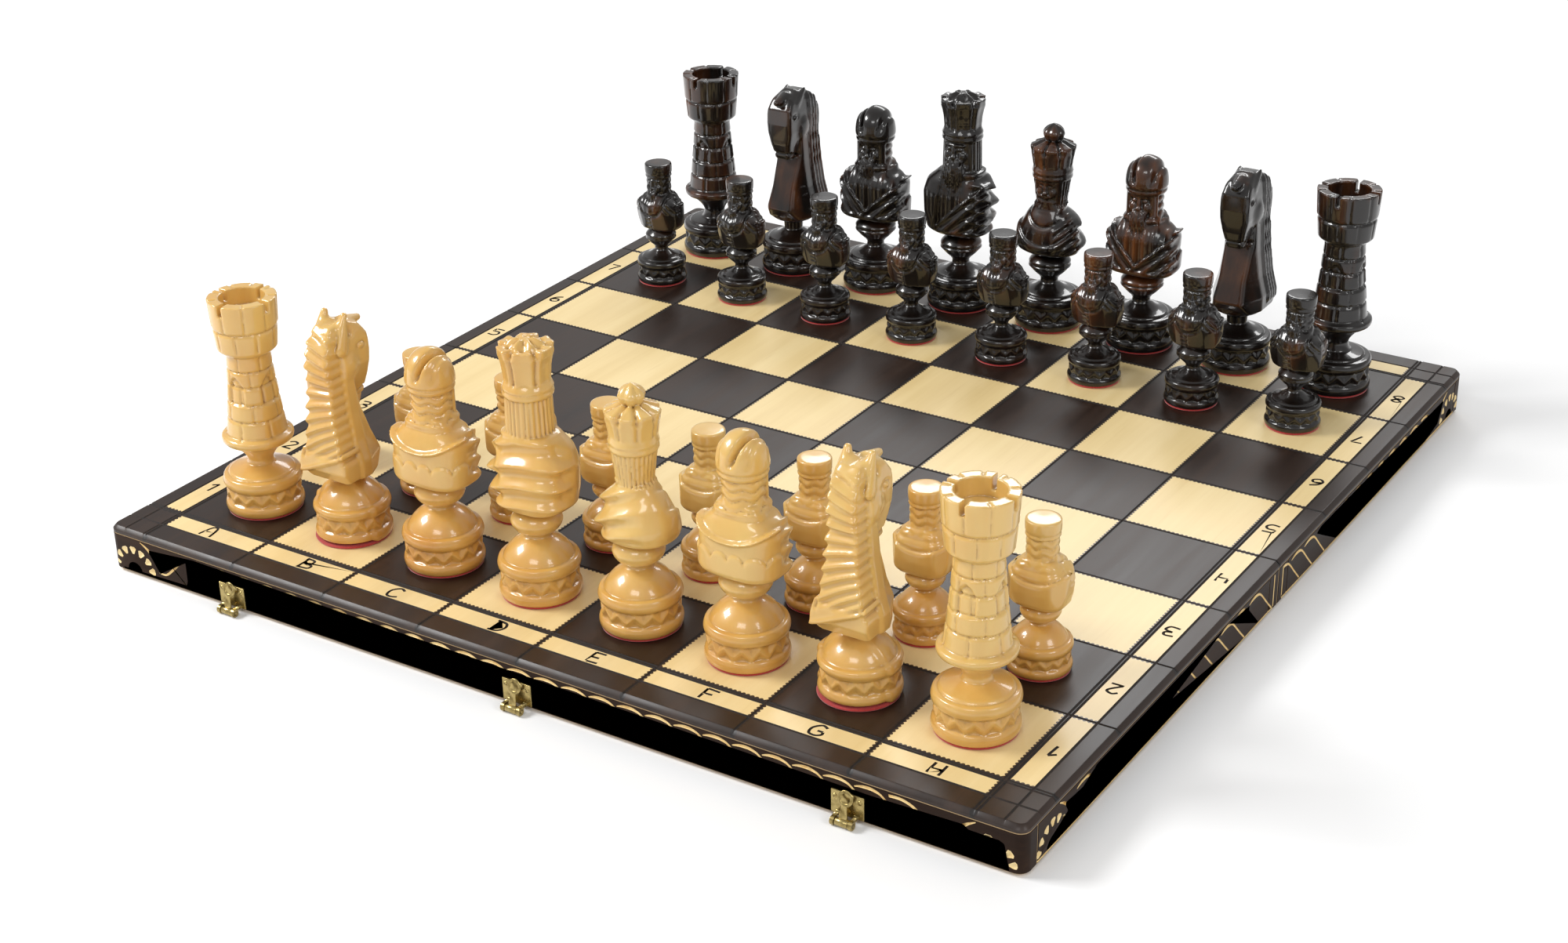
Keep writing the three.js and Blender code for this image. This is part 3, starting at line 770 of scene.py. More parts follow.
flank = Carving()
ends(flank, 0.10, 0.0)
flank.stroke(drawn([(-3.60, -0.235, 0.9), (-3.45, -0.402, 1.0)]))
rope(flank, -3.20, 0.28, 12, high=-0.1)
rope(flank, 0.476, 0.28, 12, low=0.1)
for side in (-1, 1):
    flank.stroke(drawn([(side * 0.09, -0.09, 1.1), (side * 0.09, -0.405, 1.1)]))
    flank.stroke(drawn([(side * 0.09, -0.412, 1.0), (side * 4.3, -0.412, 1.0)]))
print("tool corners on the front and a side:", len(front.corners), len(flank.corners))

# %% [markdown]
# A wall is a plank with a plan outline, pulled up and with its edges just broken, as sandpaper
# leaves them. The front and back ones carry the rounded corners.

# %%
RAIL, JOINT, SEAM = 12.0, 0.3, 0.3


def plank(name, plan, node, body, outer_finish):
    """A plank from z = rim to its top. Faces on the outside of the box are burnt."""
    shape = bmesh.new()
    bottom = shape.faces.new([shape.verts.new((x * MM, y * MM, rim * MM)) for x, y in plan])
    pulled = bmesh.ops.extrude_face_region(shape, geom=[bottom])["geom"]
    upper = [v for v in pulled if isinstance(v, bmesh.types.BMVert)]
    bmesh.ops.translate(shape, verts=upper, vec=(0, 0, (rail_top - rim) * MM))
    bmesh.ops.recalc_face_normals(shape, faces=shape.faces)
    for face in shape.faces:
        place = face.calc_center_median() / MM
        outside = abs(place.x) > HALF_X - 5 or abs(place.y) > HALF_Y - 5.9
        face.material_index = 0 if outside and abs(face.normal.z) < 0.5 else 1
    return finish_plank(name, shape, node, body, outer_finish)


def finish_plank(name, shape, node, body, outer_finish):
    sharp = [edge for edge in shape.edges if edge.calc_face_angle(0) > math.radians(40)]
    bmesh.ops.bevel(shape, geom=sharp, offset=0.35 * MM, segments=2, affect="EDGES", material=-1)
    mesh = bpy.data.meshes.new(name)
    shape.to_mesh(mesh)
    shape.free()
    for finish in (outer_finish, raw.material):
        mesh.materials.append(finish)
    piece = bpy.data.objects.new(name, mesh)
    bpy.context.collection.objects.link(piece)
    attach(piece, body)
    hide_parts(node)
    return piece


def round_corner(x, y, from_x_side):
    """The plan's rounded corner at (x, y), drawn from the side wall or from the end wall."""
    centre = (x - math.copysign(6, x), y - math.copysign(6, y))
    angles = [math.radians(9 * k) for k in range(11)]
    if not from_x_side:
        angles.reverse()
    return [
        (
            centre[0] + math.copysign(6 * math.cos(a), x),
            centre[1] + math.copysign(6 * math.sin(a), y)
        )
        for a in angles
    ]


def on_wall(quarter_turns, distance):
    """Places a drawing on the front wall, or on the one so many quarter turns further round."""
    spin = Matrix.Rotation(math.radians(90 * quarter_turns), 4, "Z")

    def place(u, v, out):
        return spin @ (Vector((u, -distance - out, v)) * MM)

    return place


wall_tools = {
    "front": front.tool("front_tool", on_wall(0, HALF_Y), carved.material),
    "right": flank.tool("right_tool", on_wall(1, HALF_X), carved.material),
    "back": front.tool("back_tool", on_wall(2, HALF_Y), carved.material),
    "left": flank.tool("left_tool", on_wall(3, HALF_X), carved.material),
}
tools += wall_tools.values()

for half, side, outer_wall in (("near", -1, "front"), ("far", 1, "back")):
    edge_y, inner_y = side * HALF_Y, side * (HALF_Y - RAIL)
    plan = [(-HALF_X, inner_y), *round_corner(-HALF_X, edge_y, True)]
    plan += [*round_corner(HALF_X, edge_y, False), (HALF_X, inner_y)]
    name = f"{half}_{outer_wall}_rail"
    wall = plank(f"{outer_wall}_wall", plan, name, f"{half}_half", burnt_wall_x)
    carve(wall, wall_tools[outer_wall], wall_tools["left"], wall_tools["right"])
    print(wall.name, len(wall.data.polygons), "faces")
    y0, y1 = side * (SEAM + RAIL + JOINT), side * (HALF_Y - RAIL - JOINT)
    for hand, sign in (("left", -1), ("right", 1)):
        x0, x1 = sign * (HALF_X - RAIL), sign * HALF_X
        plan = [(x0, y0), (x1, y0), (x1, y1), (x0, y1)]
        wall = plank(
            f"{half}_{hand}_wall", plan, f"{half}_{hand}_rail", f"{half}_half", burnt_wall_y
        )
        carve(wall, wall_tools[hand])

# %% [markdown]
# The wall along the fold has rooms cut for the hinges, so it starts from the model's own shape.
# Its two ends show in the side walls.


# %%
def model_shape(node):
    """A model node's surface as an editable shape, with its flat faces made whole again."""
    shape = bmesh.new()
    shape.from_mesh(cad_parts[node].data)
    bmesh.ops.remove_doubles(shape, verts=shape.verts, dist=1e-6)
    bmesh.ops.dissolve_limit(
        shape, angle_limit=math.radians(1), verts=shape.verts, edges=shape.edges
    )
    return shape


for half in ("near", "far"):
    node = f"{half}_hinge_rail"
    shape = model_shape(node)
    for face in shape.faces:
        face.material_index = 0 if abs(face.normal.x) > 0.9 and abs(
            face.calc_center_median().x
        ) > (HALF_X - 1) * MM else 1
    wall = finish_plank(f"{half}_fold_wall", shape, node, f"{half}_half", burnt_wall_y)
    carve(wall, wall_tools["left"], wall_tools["right"])

for tool in tools:
    bpy.data.objects.remove(tool)
print("walls carved")

# %% [markdown]
# ## Brass fittings
# Three swing clasps hold the box shut. Each has a plate with two ears, a brass pin, and
# an eye that swings over a knob on the other half. Hinges and plates are stamped sheet, so their
# shapes come from the model and only need softly broken edges.


# %%
def broken_edges(node, name, width, finish, body):
    shape = model_shape(node)
    sharp = [edge for edge in shape.edges if edge.calc_face_angle(0) > math.radians(35)]
    bmesh.ops.bevel(shape, geom=sharp, offset=width * MM, segments=2, affect="EDGES")
    mesh = bpy.data.meshes.new(name)
    shape.to_mesh(mesh)
    shape.free()
    mesh.polygons.foreach_set("use_smooth", [True] * len(mesh.polygons))
    mesh.set_sharp_from_angle(angle=math.radians(32))
    mesh.materials.append(finish)
    piece = bpy.data.objects.new(name, mesh)
    bpy.context.collection.objects.link(piece)
    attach(piece, body)
    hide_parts(node)
    return piece


for hand in ("left", "right"):
    for half in ("near", "far"):
        broken_edges(
            f"{hand}_hinge_{half}_leaf", f"{hand}_{half}_hinge_leaf", 0.12, brass.material, f"{half}_half"
        )
for place in ("left", "middle", "right"):
    broken_edges(f"{place}_clasp_plate", f"{place}_plate", 0.22, brass.material, "near_half")
    broken_edges(f"{place}_clasp_catch", f"{place}_knob_plate", 0.2, brass.material, "far_half")
for node, finish in (("hinge_pin", steel.material), ("clasp_pin", brass.material)):
    for name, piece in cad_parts.items():
        if name.endswith(node):
            piece.data.materials.clear()
            piece.data.materials.append(finish)
print("plates, leaves and catches:", 10)

# %% [markdown]
# The swinging eye is cast: an oval wire ring, thicker at its root, on a short arm that wraps round
# the pin. The ring is a closed tube whose section is swept round an oval. It is built upright about
# the pin and leant against the wall, as the model has it.

# %%
PIVOT = {}
for place in ("left", "middle", "right"):
    pin_low, pin_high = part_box(f"{place}_clasp_pin")
    PIVOT[place] = (Vector(pin_low) + Vector(pin_high)) / 2
eye_low, eye_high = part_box("middle_clasp_hasp")
EYE_R, EYE_THICK = 3.35, 0.85  # middle of the wire, half thickness
EYE_Z = 12.0
LEAN = math.radians(14)


def tube_mesh(rings, closed_path):
    """Corners and faces of a tube from rings of points with equally many points."""
    corners = [point for ring in rings for point in ring]
    sides, count = len(rings[0]), len(rings)
    faces = []
    for i in range(count if closed_path else count - 1):
        a, b = i * sides, ((i + 1) % count) * sides
        for k in range(sides):
            m = (k + 1) % sides
            faces.append((a + k, b + k, b + m, a + m))
    if not closed_path:
        faces += [tuple(range(sides)), tuple(range((count - 1) * sides, count * sides))[::-1]]
    return corners, faces


def hasp_mesh():
    parts = []
    ring = []
    for i in range(48):
        turn = 2 * math.pi * i / 48
        thick = EYE_THICK * (1 + 0.25 * max(0, -math.cos(turn)) ** 4)
        middle = (EYE_R * math.sin(turn), EYE_Z + EYE_R * math.cos(turn))
        section = []
        for k in range(12):
            a = 2 * math.pi * k / 12
            r = thick * math.cos(a)
            section.append((
                middle[0] + r * math.sin(turn), 0.56 * thick * math.sin(a), middle[1] + r * math.cos(turn)
            ))  # fmt: skip
        ring.append(section)
    parts.append(tube_mesh(ring, True))
    arm = []
    for z, half_width, half_thick in (
        (0.2, 2.6, 0.6), (3.0, 2.3, 0.6), (6.5, 1.7, 0.62), (9.2, 1.5, 0.5)
    ):
        arm.append([
            (half_width * math.copysign(abs(math.cos(a)) ** 0.45, math.cos(a)),
             half_thick * math.copysign(abs(math.sin(a)) ** 0.45, math.sin(a)), z)
            for a in (2 * math.pi * (k + 0.5) / 16 for k in range(16))
        ])  # fmt: skip
    parts.append(tube_mesh(arm, False))
    profile = [(0.93, -3.5), (1.9, -3.5), (2.1, -3.3), (2.1, 3.3), (1.9, 3.5), (0.93, 3.5)]
    barrel = []
    for k in range(32):
        a = 2 * math.pi * k / 32
        barrel.append([(x, r * math.cos(a), r * math.sin(a)) for r, x in profile])
    parts.append(tube_mesh(barrel, True))
    mesh = bpy.data.meshes.new("swing_eye")
    shape = bmesh.new()
    for corners, faces in parts:
        made = [shape.verts.new([v * MM for v in corner]) for corner in corners]
        for face in faces:
            shape.faces.new([made[k] for k in face])
    bmesh.ops.recalc_face_normals(shape, faces=shape.faces)
    shape.to_mesh(mesh)
    shape.free()
    mesh.polygons.foreach_set("use_smooth", [True] * len(mesh.polygons))
    mesh.set_sharp_from_angle(angle=math.radians(50))
    mesh.materials.append(brass.material)
    return mesh


eye_mesh = hasp_mesh()
for place, pivot in PIVOT.items():
    eye = bpy.data.objects.new(f"{place}_swing_eye", eye_mesh)
    bpy.context.collection.objects.link(eye)
    eye.location = pivot
    eye.rotation_euler[0] = -LEAN
    bpy.context.view_layer.update()
    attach(eye, f"{place}_hasp")
    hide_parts(f"{place}_clasp_hasp")
print("eye box in the model:", [round(v / MM, 2) for v in (*eye_low, *eye_high)])

# %% [markdown]
# Small round-headed brass screws hold the plates and the hinge leaves. One screw head is a turned
# dome with a slot cut across it, and every screw shares it.


# %%
def screw_mesh(radius, height):
    profile = [
        (radius, 0), (radius, 0.15 * height), (0.85 * radius, 0.6 * height),
        (0.5 * radius, 0.92 * height), (0.12 * radius, height)
    ]
    rings = []
    for r, z in profile:
        rings.append([
            (
                r * math.cos(2 * math.pi * k / 24) * MM, r * math.sin(2 * math.pi * k / 24) * MM,
                z * MM
            )
            for k in range(24)
        ])  # fmt: skip
    corners, faces = tube_mesh(rings, False)
    mesh = bpy.data.meshes.new("screw_head")
    mesh.from_pydata(corners, [], faces)
    shape = bmesh.new()
    shape.from_mesh(mesh)
    bmesh.ops.recalc_face_normals(shape, faces=shape.faces)
    shape.to_mesh(mesh)
    shape.free()
    mesh.materials.append(brass.material)
    slot = Carving()
    slot.stroke([(-radius - 0.5, 0, 0.32 * radius), (radius + 0.5, 0, 0.32 * radius)], 1.2)
    driver = slot.tool(
        "driver", lambda u, v, out: Vector((u, v, 0.9 * height + out)) * MM, brass.material
    )
    head = bpy.data.objects.new("screw_head", mesh)
    bpy.context.collection.objects.link(head)
    carve(head, driver)
    mesh = head.data
    for piece in (driver, head):
        bpy.data.objects.remove(piece)
    return mesh


screw = screw_mesh(1.25, 0.6)


def drive(name, place, facing, turn, body):
    """A screw head at place (in metres), whose dome points along facing."""
    head = bpy.data.objects.new(name, screw)
    bpy.context.collection.objects.link(head)
    head.location = place
    head.rotation_euler = (
        Vector(facing).to_track_quat("Z", "Y") @ Matrix.Rotation(turn, 3, "Z").to_quaternion()
    ).to_euler()
    bpy.context.view_layer.update()
    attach(head, body)


for number, place in enumerate(PIVOT):
    _, plate_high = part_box(f"{place}_clasp_plate")
    for hand in (-1, 1):
        spot = (
            PIVOT[place].x + hand * 6.8 * MM, plate_high[1] - 1.15 * MM, plate_high[2] - 3.2 * MM
        )
        drive(
            f"{place}_clasp_screw_{hand + 2}", spot, (0, -1, 0), 0.7 * number + hand, "near_half"
        )
for hand in ("left", "right"):
    for half, side in (("near", -1), ("far", 1)):
        leaf_low, leaf_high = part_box(f"{hand}_hinge_{half}_leaf")
        middle = (Vector(leaf_low) + Vector(leaf_high)) / 2
        for step in (-1, 0, 1):
            spot = (middle.x + step * 13 * MM, side * 6.6 * MM, leaf_high[2] - 1.15 * MM)
            drive(
                f"{hand}_{half}_leaf_screw_{step + 2}", spot, (0, 0, -1), 0.5 * step + side,
                f"{half}_half"
            )
print("screws:", 3 * 2 + 4 * 3)

# %% [markdown]
# ## Carving tools
# A carved man has no flat faces to build from: a turned foot runs into a bust, the bust into hair
# and a crown, and every hollow is the track of a gouge. Polygons could be pushed by hand, but each
# fold would cost as much work as the last. Here a man is a block of sample points that each hold
# their distance to the wood, in millimetres. Shapes are added and gouges are cut by comparing
# distances, with a soft edge as thick lacquer gives, and one pass turns the block into a mesh.

# %%
MM = 0.001
STEP = 0.8  # millimetres between sample points
RING = 0.25  # millimetres between the rings of a turned shape's table


class Block:
    """A block of sample points round one man, who faces +y and stands on z = 0."""

    def __init__(self, half_x, half_y, height):
        self.x = np.arange(-half_x, half_x + STEP, STEP, dtype=np.float32)[:, None, None]
        self.y = np.arange(-half_y, half_y + STEP, STEP, dtype=np.float32)[None, :, None]
        self.z = np.arange(-2.0, height + 3.0, STEP, dtype=np.float32)[None, None, :]
        self.radius = np.hypot(self.x, self.y)
        self.turn = np.arctan2(self.x, self.y)  # 0 in front, growing towards +x
        self.wood = np.full((self.x.size, self.y.size, self.z.size), 40, np.float32)

    def add(self, shape, soft=0.8):
        self.wood = meet(self.wood, shape, soft)

    def cut(self, shape, soft=0.6):
        self.wood = -meet(-self.wood, shape, soft)

    def swell(self, height):
        """Raises the surface by a height that varies from place to place."""
        self.wood = self.wood - height


def meet(a, b, soft):
    """Two shapes as one, with the inner corner between them filled softly."""
    h = np.clip(0.5 + 0.5 * (b - a) / soft, 0, 1)
    return b + (a - b) * h - soft * h * (1 - h)


def within(value, low, high, fade):
    """1 between low and high, fading to 0 over the distance fade outside them."""
    return np.clip((value - low) / fade + 1, 0, 1) * np.clip((high - value) / fade + 1, 0, 1)


def folds(phase, sharp=0.7):
    """Rounded ridges with sharp valleys between them, one for each unit of phase."""
    return np.abs(np.sin(np.pi * phase)) ** sharp


def scoops(phase):
    """Broad hollows with soft crests between them, one for each unit of phase."""
    return -(np.abs(np.sin(np.pi * phase)) ** 1.3)


def groove(distance, width, depth):
    """The hollow of a gouge along the line where distance is 0."""
    return -depth * np.exp(-((distance / width) ** 2))


# %% [markdown]
# Turned work is described by half of its section, as a turner's template is. Only the points
# where the outline changes are given, and a stretch that bulges says by how much it bows.


# %%
def bowed(outline, steps=7):
    """Fills in an outline of (radius, height) or (radius, height, bow) points."""
    points = [outline[0][:2]]
    for start, end in zip(outline, outline[1:]):
        bow = end[2] if len(end) > 2 else 0
        dr, dz = end[0] - start[0], end[1] - start[1]
        length = math.hypot(dr, dz)
        count = steps if bow else 1
        for t in (i / count for i in range(1, count + 1)):
            out = 4 * bow * t * (1 - t) / length
            points.append((start[0] + t * dr + out * dz, start[1] + t * dz - out * dr))
    return points


def outline_distance(points, u, v):
    """Signed distance, negative inside, from places (u, v) to a closed outline."""
    nearest = np.full(np.broadcast(u, v).shape, 1e6, np.float32)
    inside = np.zeros(nearest.shape, bool)
    for (u0, v0), (u1, v1) in zip(points, points[1:] + points[:1]):
        du, dv = u1 - u0, v1 - v0
        t = np.clip(((u - u0) * du + (v - v0) * dv) / max(du * du + dv * dv, 1e-9), 0, 1)
        nearest = np.minimum(nearest, (u - u0 - t * du) ** 2 + (v - v0 - t * dv) ** 2)
        if dv:
            inside ^= ((v0 > v) != (v1 > v)) & (u < u0 + (v - v0) * du / dv)
    return np.where(inside, -1, 1) * np.sqrt(nearest)


def turned(block, outline):
    """A shape turned about the man's axis, from the outline of half its section."""
    points = bowed(outline)
    section = points + [(-r, z) for r, z in reversed(points)]
    rings = np.arange(0, 40, RING, dtype=np.float32)
    table = outline_distance(section, rings[:, None], block.z[0])
    place = np.clip(block.radius[..., 0] / RING, 0, rings.size - 2)
    low = place.astype(int)
    share = (place - low)[..., None]
    return table[low] * (1 - share) + table[low + 1] * share


def egg(block, centre, size):
    """An egg with half axes size about centre."""
    parts = zip((block.x, block.y, block.z), centre, size)
    far = sum(((axis - at) / half) ** 2 for axis, at, half in parts)
    return (np.sqrt(far) - 1) * min(size)


def torso(block, levels, power=2.6, corner=1.2):
    """A body with a rounded box for its section. A level is (height, half width, half depth)."""
    heights, widths, depths = (np.array(part, float) for part in zip(*levels))
    fine = np.linspace(heights[0], heights[-1], 60)
    soften = np.ones(5) / 5
    half_x, half_y = (
        np.interp(
            block.z,
            fine,
            np.convolve(np.pad(np.interp(fine, heights, part), 2, "edge"), soften, "valid"),
        )
        for part in (widths, depths)
    )
    ratio = (np.abs(block.x) / half_x) ** power + (np.abs(block.y) / half_y) ** power
    wall = (ratio ** (1 / power) - 1) * np.minimum(half_x, half_y)
    ends = np.maximum(heights[0] - block.z, block.z - heights[-1])
    return -meet(-wall, -ends, corner)


# %% [markdown]
# The block becomes a mesh by giving each cell that the surface crosses one corner, at the mean of
# its crossings, and each crossed edge one quad. It gives even quads that shade smoothly.


# %%
def surface(block):
    """Corners in metres and quads of the block's surface."""
    wood = block.wood
    cells = tuple(n - 1 for n in wood.shape)
    place = np.zeros((3,) + cells, np.float32)
    hits = np.zeros(cells, np.float32)
    crossed = []
    for a in range(3):
        b, c = (a + 1) % 3, (a + 2) % 3
        low, high = (np.delete(wood, end, axis=a) for end in (-1, 0))
        crossing = (low < 0) != (high < 0)
        share = np.where(crossing, low / np.where(crossing, low - high, 1), 0)
        for up_b, up_c in ((0, 0), (0, 1), (1, 0), (1, 1)):
            part = [slice(None)] * 3
            part[b] = slice(up_b, up_b + cells[b])
            part[c] = slice(up_c, up_c + cells[c])
            part = tuple(part)
            hits += crossing[part]
            place[a] += share[part]
            place[b] += up_b * crossing[part]
            place[c] += up_c * crossing[part]
        crossed.append((a, b, c, crossing, low < 0))
    number = np.cumsum(hits > 0).reshape(cells) - 1
    used = hits > 0
    origin = np.array([block.x[0, 0, 0], block.y[0, 0, 0], block.z[0, 0, 0]])
    corners = (np.argwhere(used) + (place[:, used] / hits[used]).T) * STEP + origin
    quads = []
    for a, b, c, crossing, inside in crossed:
        at = np.argwhere(crossing)
        ring = []
        for back_b, back_c in ((1, 1), (0, 1), (0, 0), (1, 0)):
            cell = at.copy()
            cell[:, b] -= back_b
            cell[:, c] -= back_c
            ring.append(number[tuple(cell.T)])
        ring = np.stack(ring, axis=1)
        outwards = inside[tuple(at.T)]
        quads.append(np.where(outwards[:, None], ring, ring[:, ::-1]))
    return corners * MM, np.concatenate(quads)


def mesh_from(name, corners, faces):
    """A smooth-shaded mesh from arrays of corners and of faces with equally many sides."""
    mesh = bpy.data.meshes.new(name)
    count, sides = faces.shape
    mesh.vertices.add(len(corners))
    mesh.vertices.foreach_set("co", corners.astype(np.float32).ravel())
    mesh.loops.add(count * sides)
    mesh.loops.foreach_set("vertex_index", faces.astype(np.int32).ravel())
    mesh.polygons.add(count)
    mesh.polygons.foreach_set("loop_start", np.arange(0, count * sides, sides, dtype=np.int32))
    mesh.polygons.foreach_set("use_smooth", np.ones(count, bool))
    mesh.update(calc_edges=True)
    return mesh

# %% [markdown]
# ## The men
# All the men share a turned foot: a flange on felt, a band of chip carving, a ring, a dome and a
# ball on a thin neck. The light men have a smooth oblate ball. The dark men have a flatter foot and
# a ball of two cones with ridges between them.

# %%
FELT = 1.0  # thickness under each man, in millimetres
LIGHT_FOOT = [
    (0, FELT), (20.9, FELT), (21.7, 2.4, 0.2), (21.6, 5.8, 0.3), (20.9, 7.2), (20.9, 15.6),
    (21.6, 16.6), (21.5, 20.9, 0.5), (20.4, 22.4, 0.3), (18.6, 22.6), (18.1, 24.0),
    (8.0, 33.4, 1.1), (7.0, 35.0, -0.3), (7.6, 36.4), (13.8, 42.8, 1.4), (7.8, 49.2, 1.4),
    (7.0, 50.4), (7.0, 56.0), (0, 56.0),
]  # fmt: skip
DARK_FOOT = [
    (0, FELT), (20.9, FELT), (21.7, 2.4, 0.2), (21.6, 5.8, 0.3), (20.9, 7.2), (20.9, 15.6),
    (21.5, 16.6), (21.3, 20.4, 0.3), (20.0, 21.6, 0.3), (17.4, 21.8),
    (17.0, 23.2), (9.0, 26.4, -0.6),
    (7.0, 28.0), (5.7, 29.4, -0.2), (5.6, 32.0), (6.8, 33.4, 0.3), (13.0, 39.8, 0.3),
    (13.7, 40.9, 0.3), (12.4, 42.1), (13.7, 43.3, 0.3), (12.9, 44.6), (6.4, 50.0, 0.4),
    (6.4, 56.0), (0, 56.0),
]  # fmt: skip
CHIPS = 14  # points of the zigzag round a foot


def foot(block, army, size=1.0, cut_off=None):
    """The foot, the chip-carved band and the ball. cut_off ends it below the ball."""
    outline = LIGHT_FOOT if army == "white" else DARK_FOOT
    if cut_off:
        outline = [point for point in outline if point[1] <= cut_off] + [(0, cut_off)]
    scaled = [
        (r * size, FELT + (z - FELT) * size, *(bow * size for bow in rest))
        for r, z, *rest in outline
    ]
    block.add(turned(block, scaled))
    # A zigzag ridge is left standing between triangular chips.
    tooth = np.abs(2 * ((block.turn * CHIPS / (2 * np.pi)) % 1) - 1)
    line = (9.2 + 4.6 * tooth) * size
    chip = np.clip((np.abs(block.z - line) / size - 0.3) / 3.6, 0, 1)
    block.swell(-1.7 * size * chip * within(block.z, 7.8 * size, 15.0 * size, 0.9))


# %% [markdown]
# Heads are a column of hair with a face let into its front. The face is a plain carver's face:
# brow, closed-looking eyes, nose, cheeks and moustache, each a small egg added to the column or
# scooped out of it. The beard is one long egg scored with strands.


# %%
def face(block, brow, reach, size=1.0):
    """A face whose brow is at height brow, on a column of radius reach."""

    def feature(centre, half, add=True):
        x, out, down = (value * size for value in centre)
        for hand in (-1, 1) if x else (1,):
            shape = egg(
                block, (hand * x, reach + out, brow - down), tuple(h * size for h in half)
            )
            block.add(shape, 0.7) if add else block.cut(shape, 0.5)

    front = within(np.abs(block.turn), 0, 0.62, 0.2) * (block.y > 0)
    block.swell(-1.1 * size * front * within(block.z, brow - 13 * size, brow + 1.5 * size, 1.5))
    feature((0, -2.6, 0.2), (7.2, 3.0, 1.5))  # brow
    feature((3.6, 0.3, 2.6), (2.6, 2.2, 1.7), add=False)  # eye sockets
    feature((3.6, -1.9, 2.9), (1.9, 1.6, 1.1))  # eyes
    feature((0, -0.8, 4.4), (1.4, 2.2, 4.4))  # bridge of the nose
    feature((0, 0.5, 7.6), (2.0, 1.9, 1.5))  # tip of the nose
    feature((4.8, -3.0, 7.4), (3.0, 3.0, 3.6))  # cheeks
    feature((0, -1.2, 12.0), (2.0, 1.6, 0.9))  # lower lip
    feature((2.5, -0.7, 10.2), (3.1, 1.5, 1.2))  # moustache


def beard(block, top, bottom, width, reach):
    """A hanging beard scored with strands."""
    middle, half = (top + bottom) / 2, (top - bottom) / 2
    block.add(egg(block, (0, reach - 1.5, middle), (width, 4.2, half)), 1.2)
    strands = folds(block.x / 1.9 + 0.06 * (block.z - middle) * np.sign(block.x), 0.6)
    over = within(block.z, bottom, top - 2, 2) * (np.abs(block.x) < width)
    block.swell(0.9 * (strands - 0.6) * over * within(block.y, reach - 1, 99, 2))


def fluted(block, low, high, count, depth, face_width=0.0):
    """Upright flutes round a column of hair, left out of the face."""
    flutes = folds(block.turn * count / (2 * np.pi), 0.8) - 0.7
    hair = within(np.abs(block.turn), face_width, 9, 0.12) if face_width else 1
    block.swell(depth * flutes * hair * within(block.z, low, high, 0.8))


def wavy(block, low, high, bands, depth, face_width=0.0):
    """Waves of hair lying one above the other round a column."""
    pitch = (high - low) / bands
    ripple = 0.9 * np.cos(6 * block.turn)
    waves = folds((block.z - low + ripple) / pitch) - 0.6
    hair = within(np.abs(block.turn), face_width, 9, 0.12) if face_width else 1
    block.swell(depth * waves * hair * within(block.z, low, high, 0.8))


# %% [markdown]
# King: a bust wrapped in a toga of broad folds, a beard, fluted hair and a flared crown of six
# lobes over two beads. The folds sag across the back and cross the chest from one shoulder.


# %%
def king(block, army):
    foot(block, army)
    levels = [
        (51, 16, 13), (53.5, 22, 17), (64, 24.2, 18), (78, 25, 17.5), (87, 22.5, 15), (94, 14, 12)
    ]
    block.add(torso(block, levels, 2.8), 1.0)
    behind = np.clip(0.5 - block.y / 7, 0, 1)
    back = scoops((block.z - 56 + 0.008 * block.x**2 - 0.16 * block.x) / 11.8)
    sash = block.z - 68 + 0.95 * block.x  # height above the sash's edge
    over = np.clip(-sash / 1.0, 0, 1)
    chest = over * 1.9 * scoops(sash / 8.5) + (1 - over) * (0.8 * scoops(block.x / 6.5) - 1.6)
    panel = np.clip((block.x - 10 + 0.1 * (block.z - 60)) / 1.2, 0, 1)
    wrap = within(block.z, 56, 90, 3)
    block.swell(wrap * (3.3 * behind * back + (1 - behind) * (1 - panel) * chest))
    # Torn-looking teeth where the folds end on one shoulder.
    block.swell(
        1.6 * scoops((block.z - 50 - 0.3 * block.y) / 8.5) * within(-block.x, 15, 40, 5) * wrap
    )
    block.add(turned(block, [(0, 88), (13.6, 91), (12.4, 97, -0.5), (12.0, 116), (0, 117)]), 1.0)
    fluted(block, 95, 114.5, 28, 1.5, 0.95)
    face(block, 112.5, 12.0)
    beard(block, 104, 83, 7.0, 12.8)
    block.add(
        turned(block, [
            (0, 113), (12.4, 114.4), (13.3, 116.2, 0.5), (12.5, 117.8, 0.3),
            (13.2, 119.6, 0.5), (12.2, 121.6), (12.4, 126, -0.2), (14.4, 137, -0.4),
            (15.2, 142), (0, 142),
        ]),
        0.3,
    )  # fmt: skip
    crown(block, 6, 122.5, 142.5, 1.15)
    block.cut(egg(block, (0, 0, 144.5), (12.4, 12.4, 4.6)))
    block.add(turned(block, [(0, 138), (10.5, 138.5), (6.0, 143.4, 0.8), (0, 144.6, 0.3)]))
    block.swell(1.2 * np.cos(6 * block.turn) * within(block.radius, 4, 9, 2) * (block.z > 138.5))


def crown(block, lobes, low, high, depth):
    """Cuts a flared crown into flat lobes with a notch between each two."""
    turn = (block.turn * lobes / (2 * np.pi)) % 1  # 0 at a notch, 0.5 in the middle of a lobe
    across = (np.minimum(turn, 1 - turn)) * 2 * np.pi / lobes * 13
    notch = -1.9 * depth * np.exp(-((across / 1.1) ** 2))
    flat = -1.0 * depth * (0.5 + 0.5 * np.cos(2 * np.pi * (turn - 0.5))) + 0.4
    block.swell((notch + flat) * within(block.z, low, high + 4, 0.8) * (block.radius > 9.5))
    block.swell(
        -2.2 * depth * np.exp(-((across / 2.0) ** 2)) * within(block.z, high - 3, high + 4, 2)
    )


# %% [markdown]
# Queen: a smaller bust like a bell with a round neckline, a cape that sweeps across the back,
# fluted hair that widens upwards, a low crown of eight lobes and a cut bud on top.


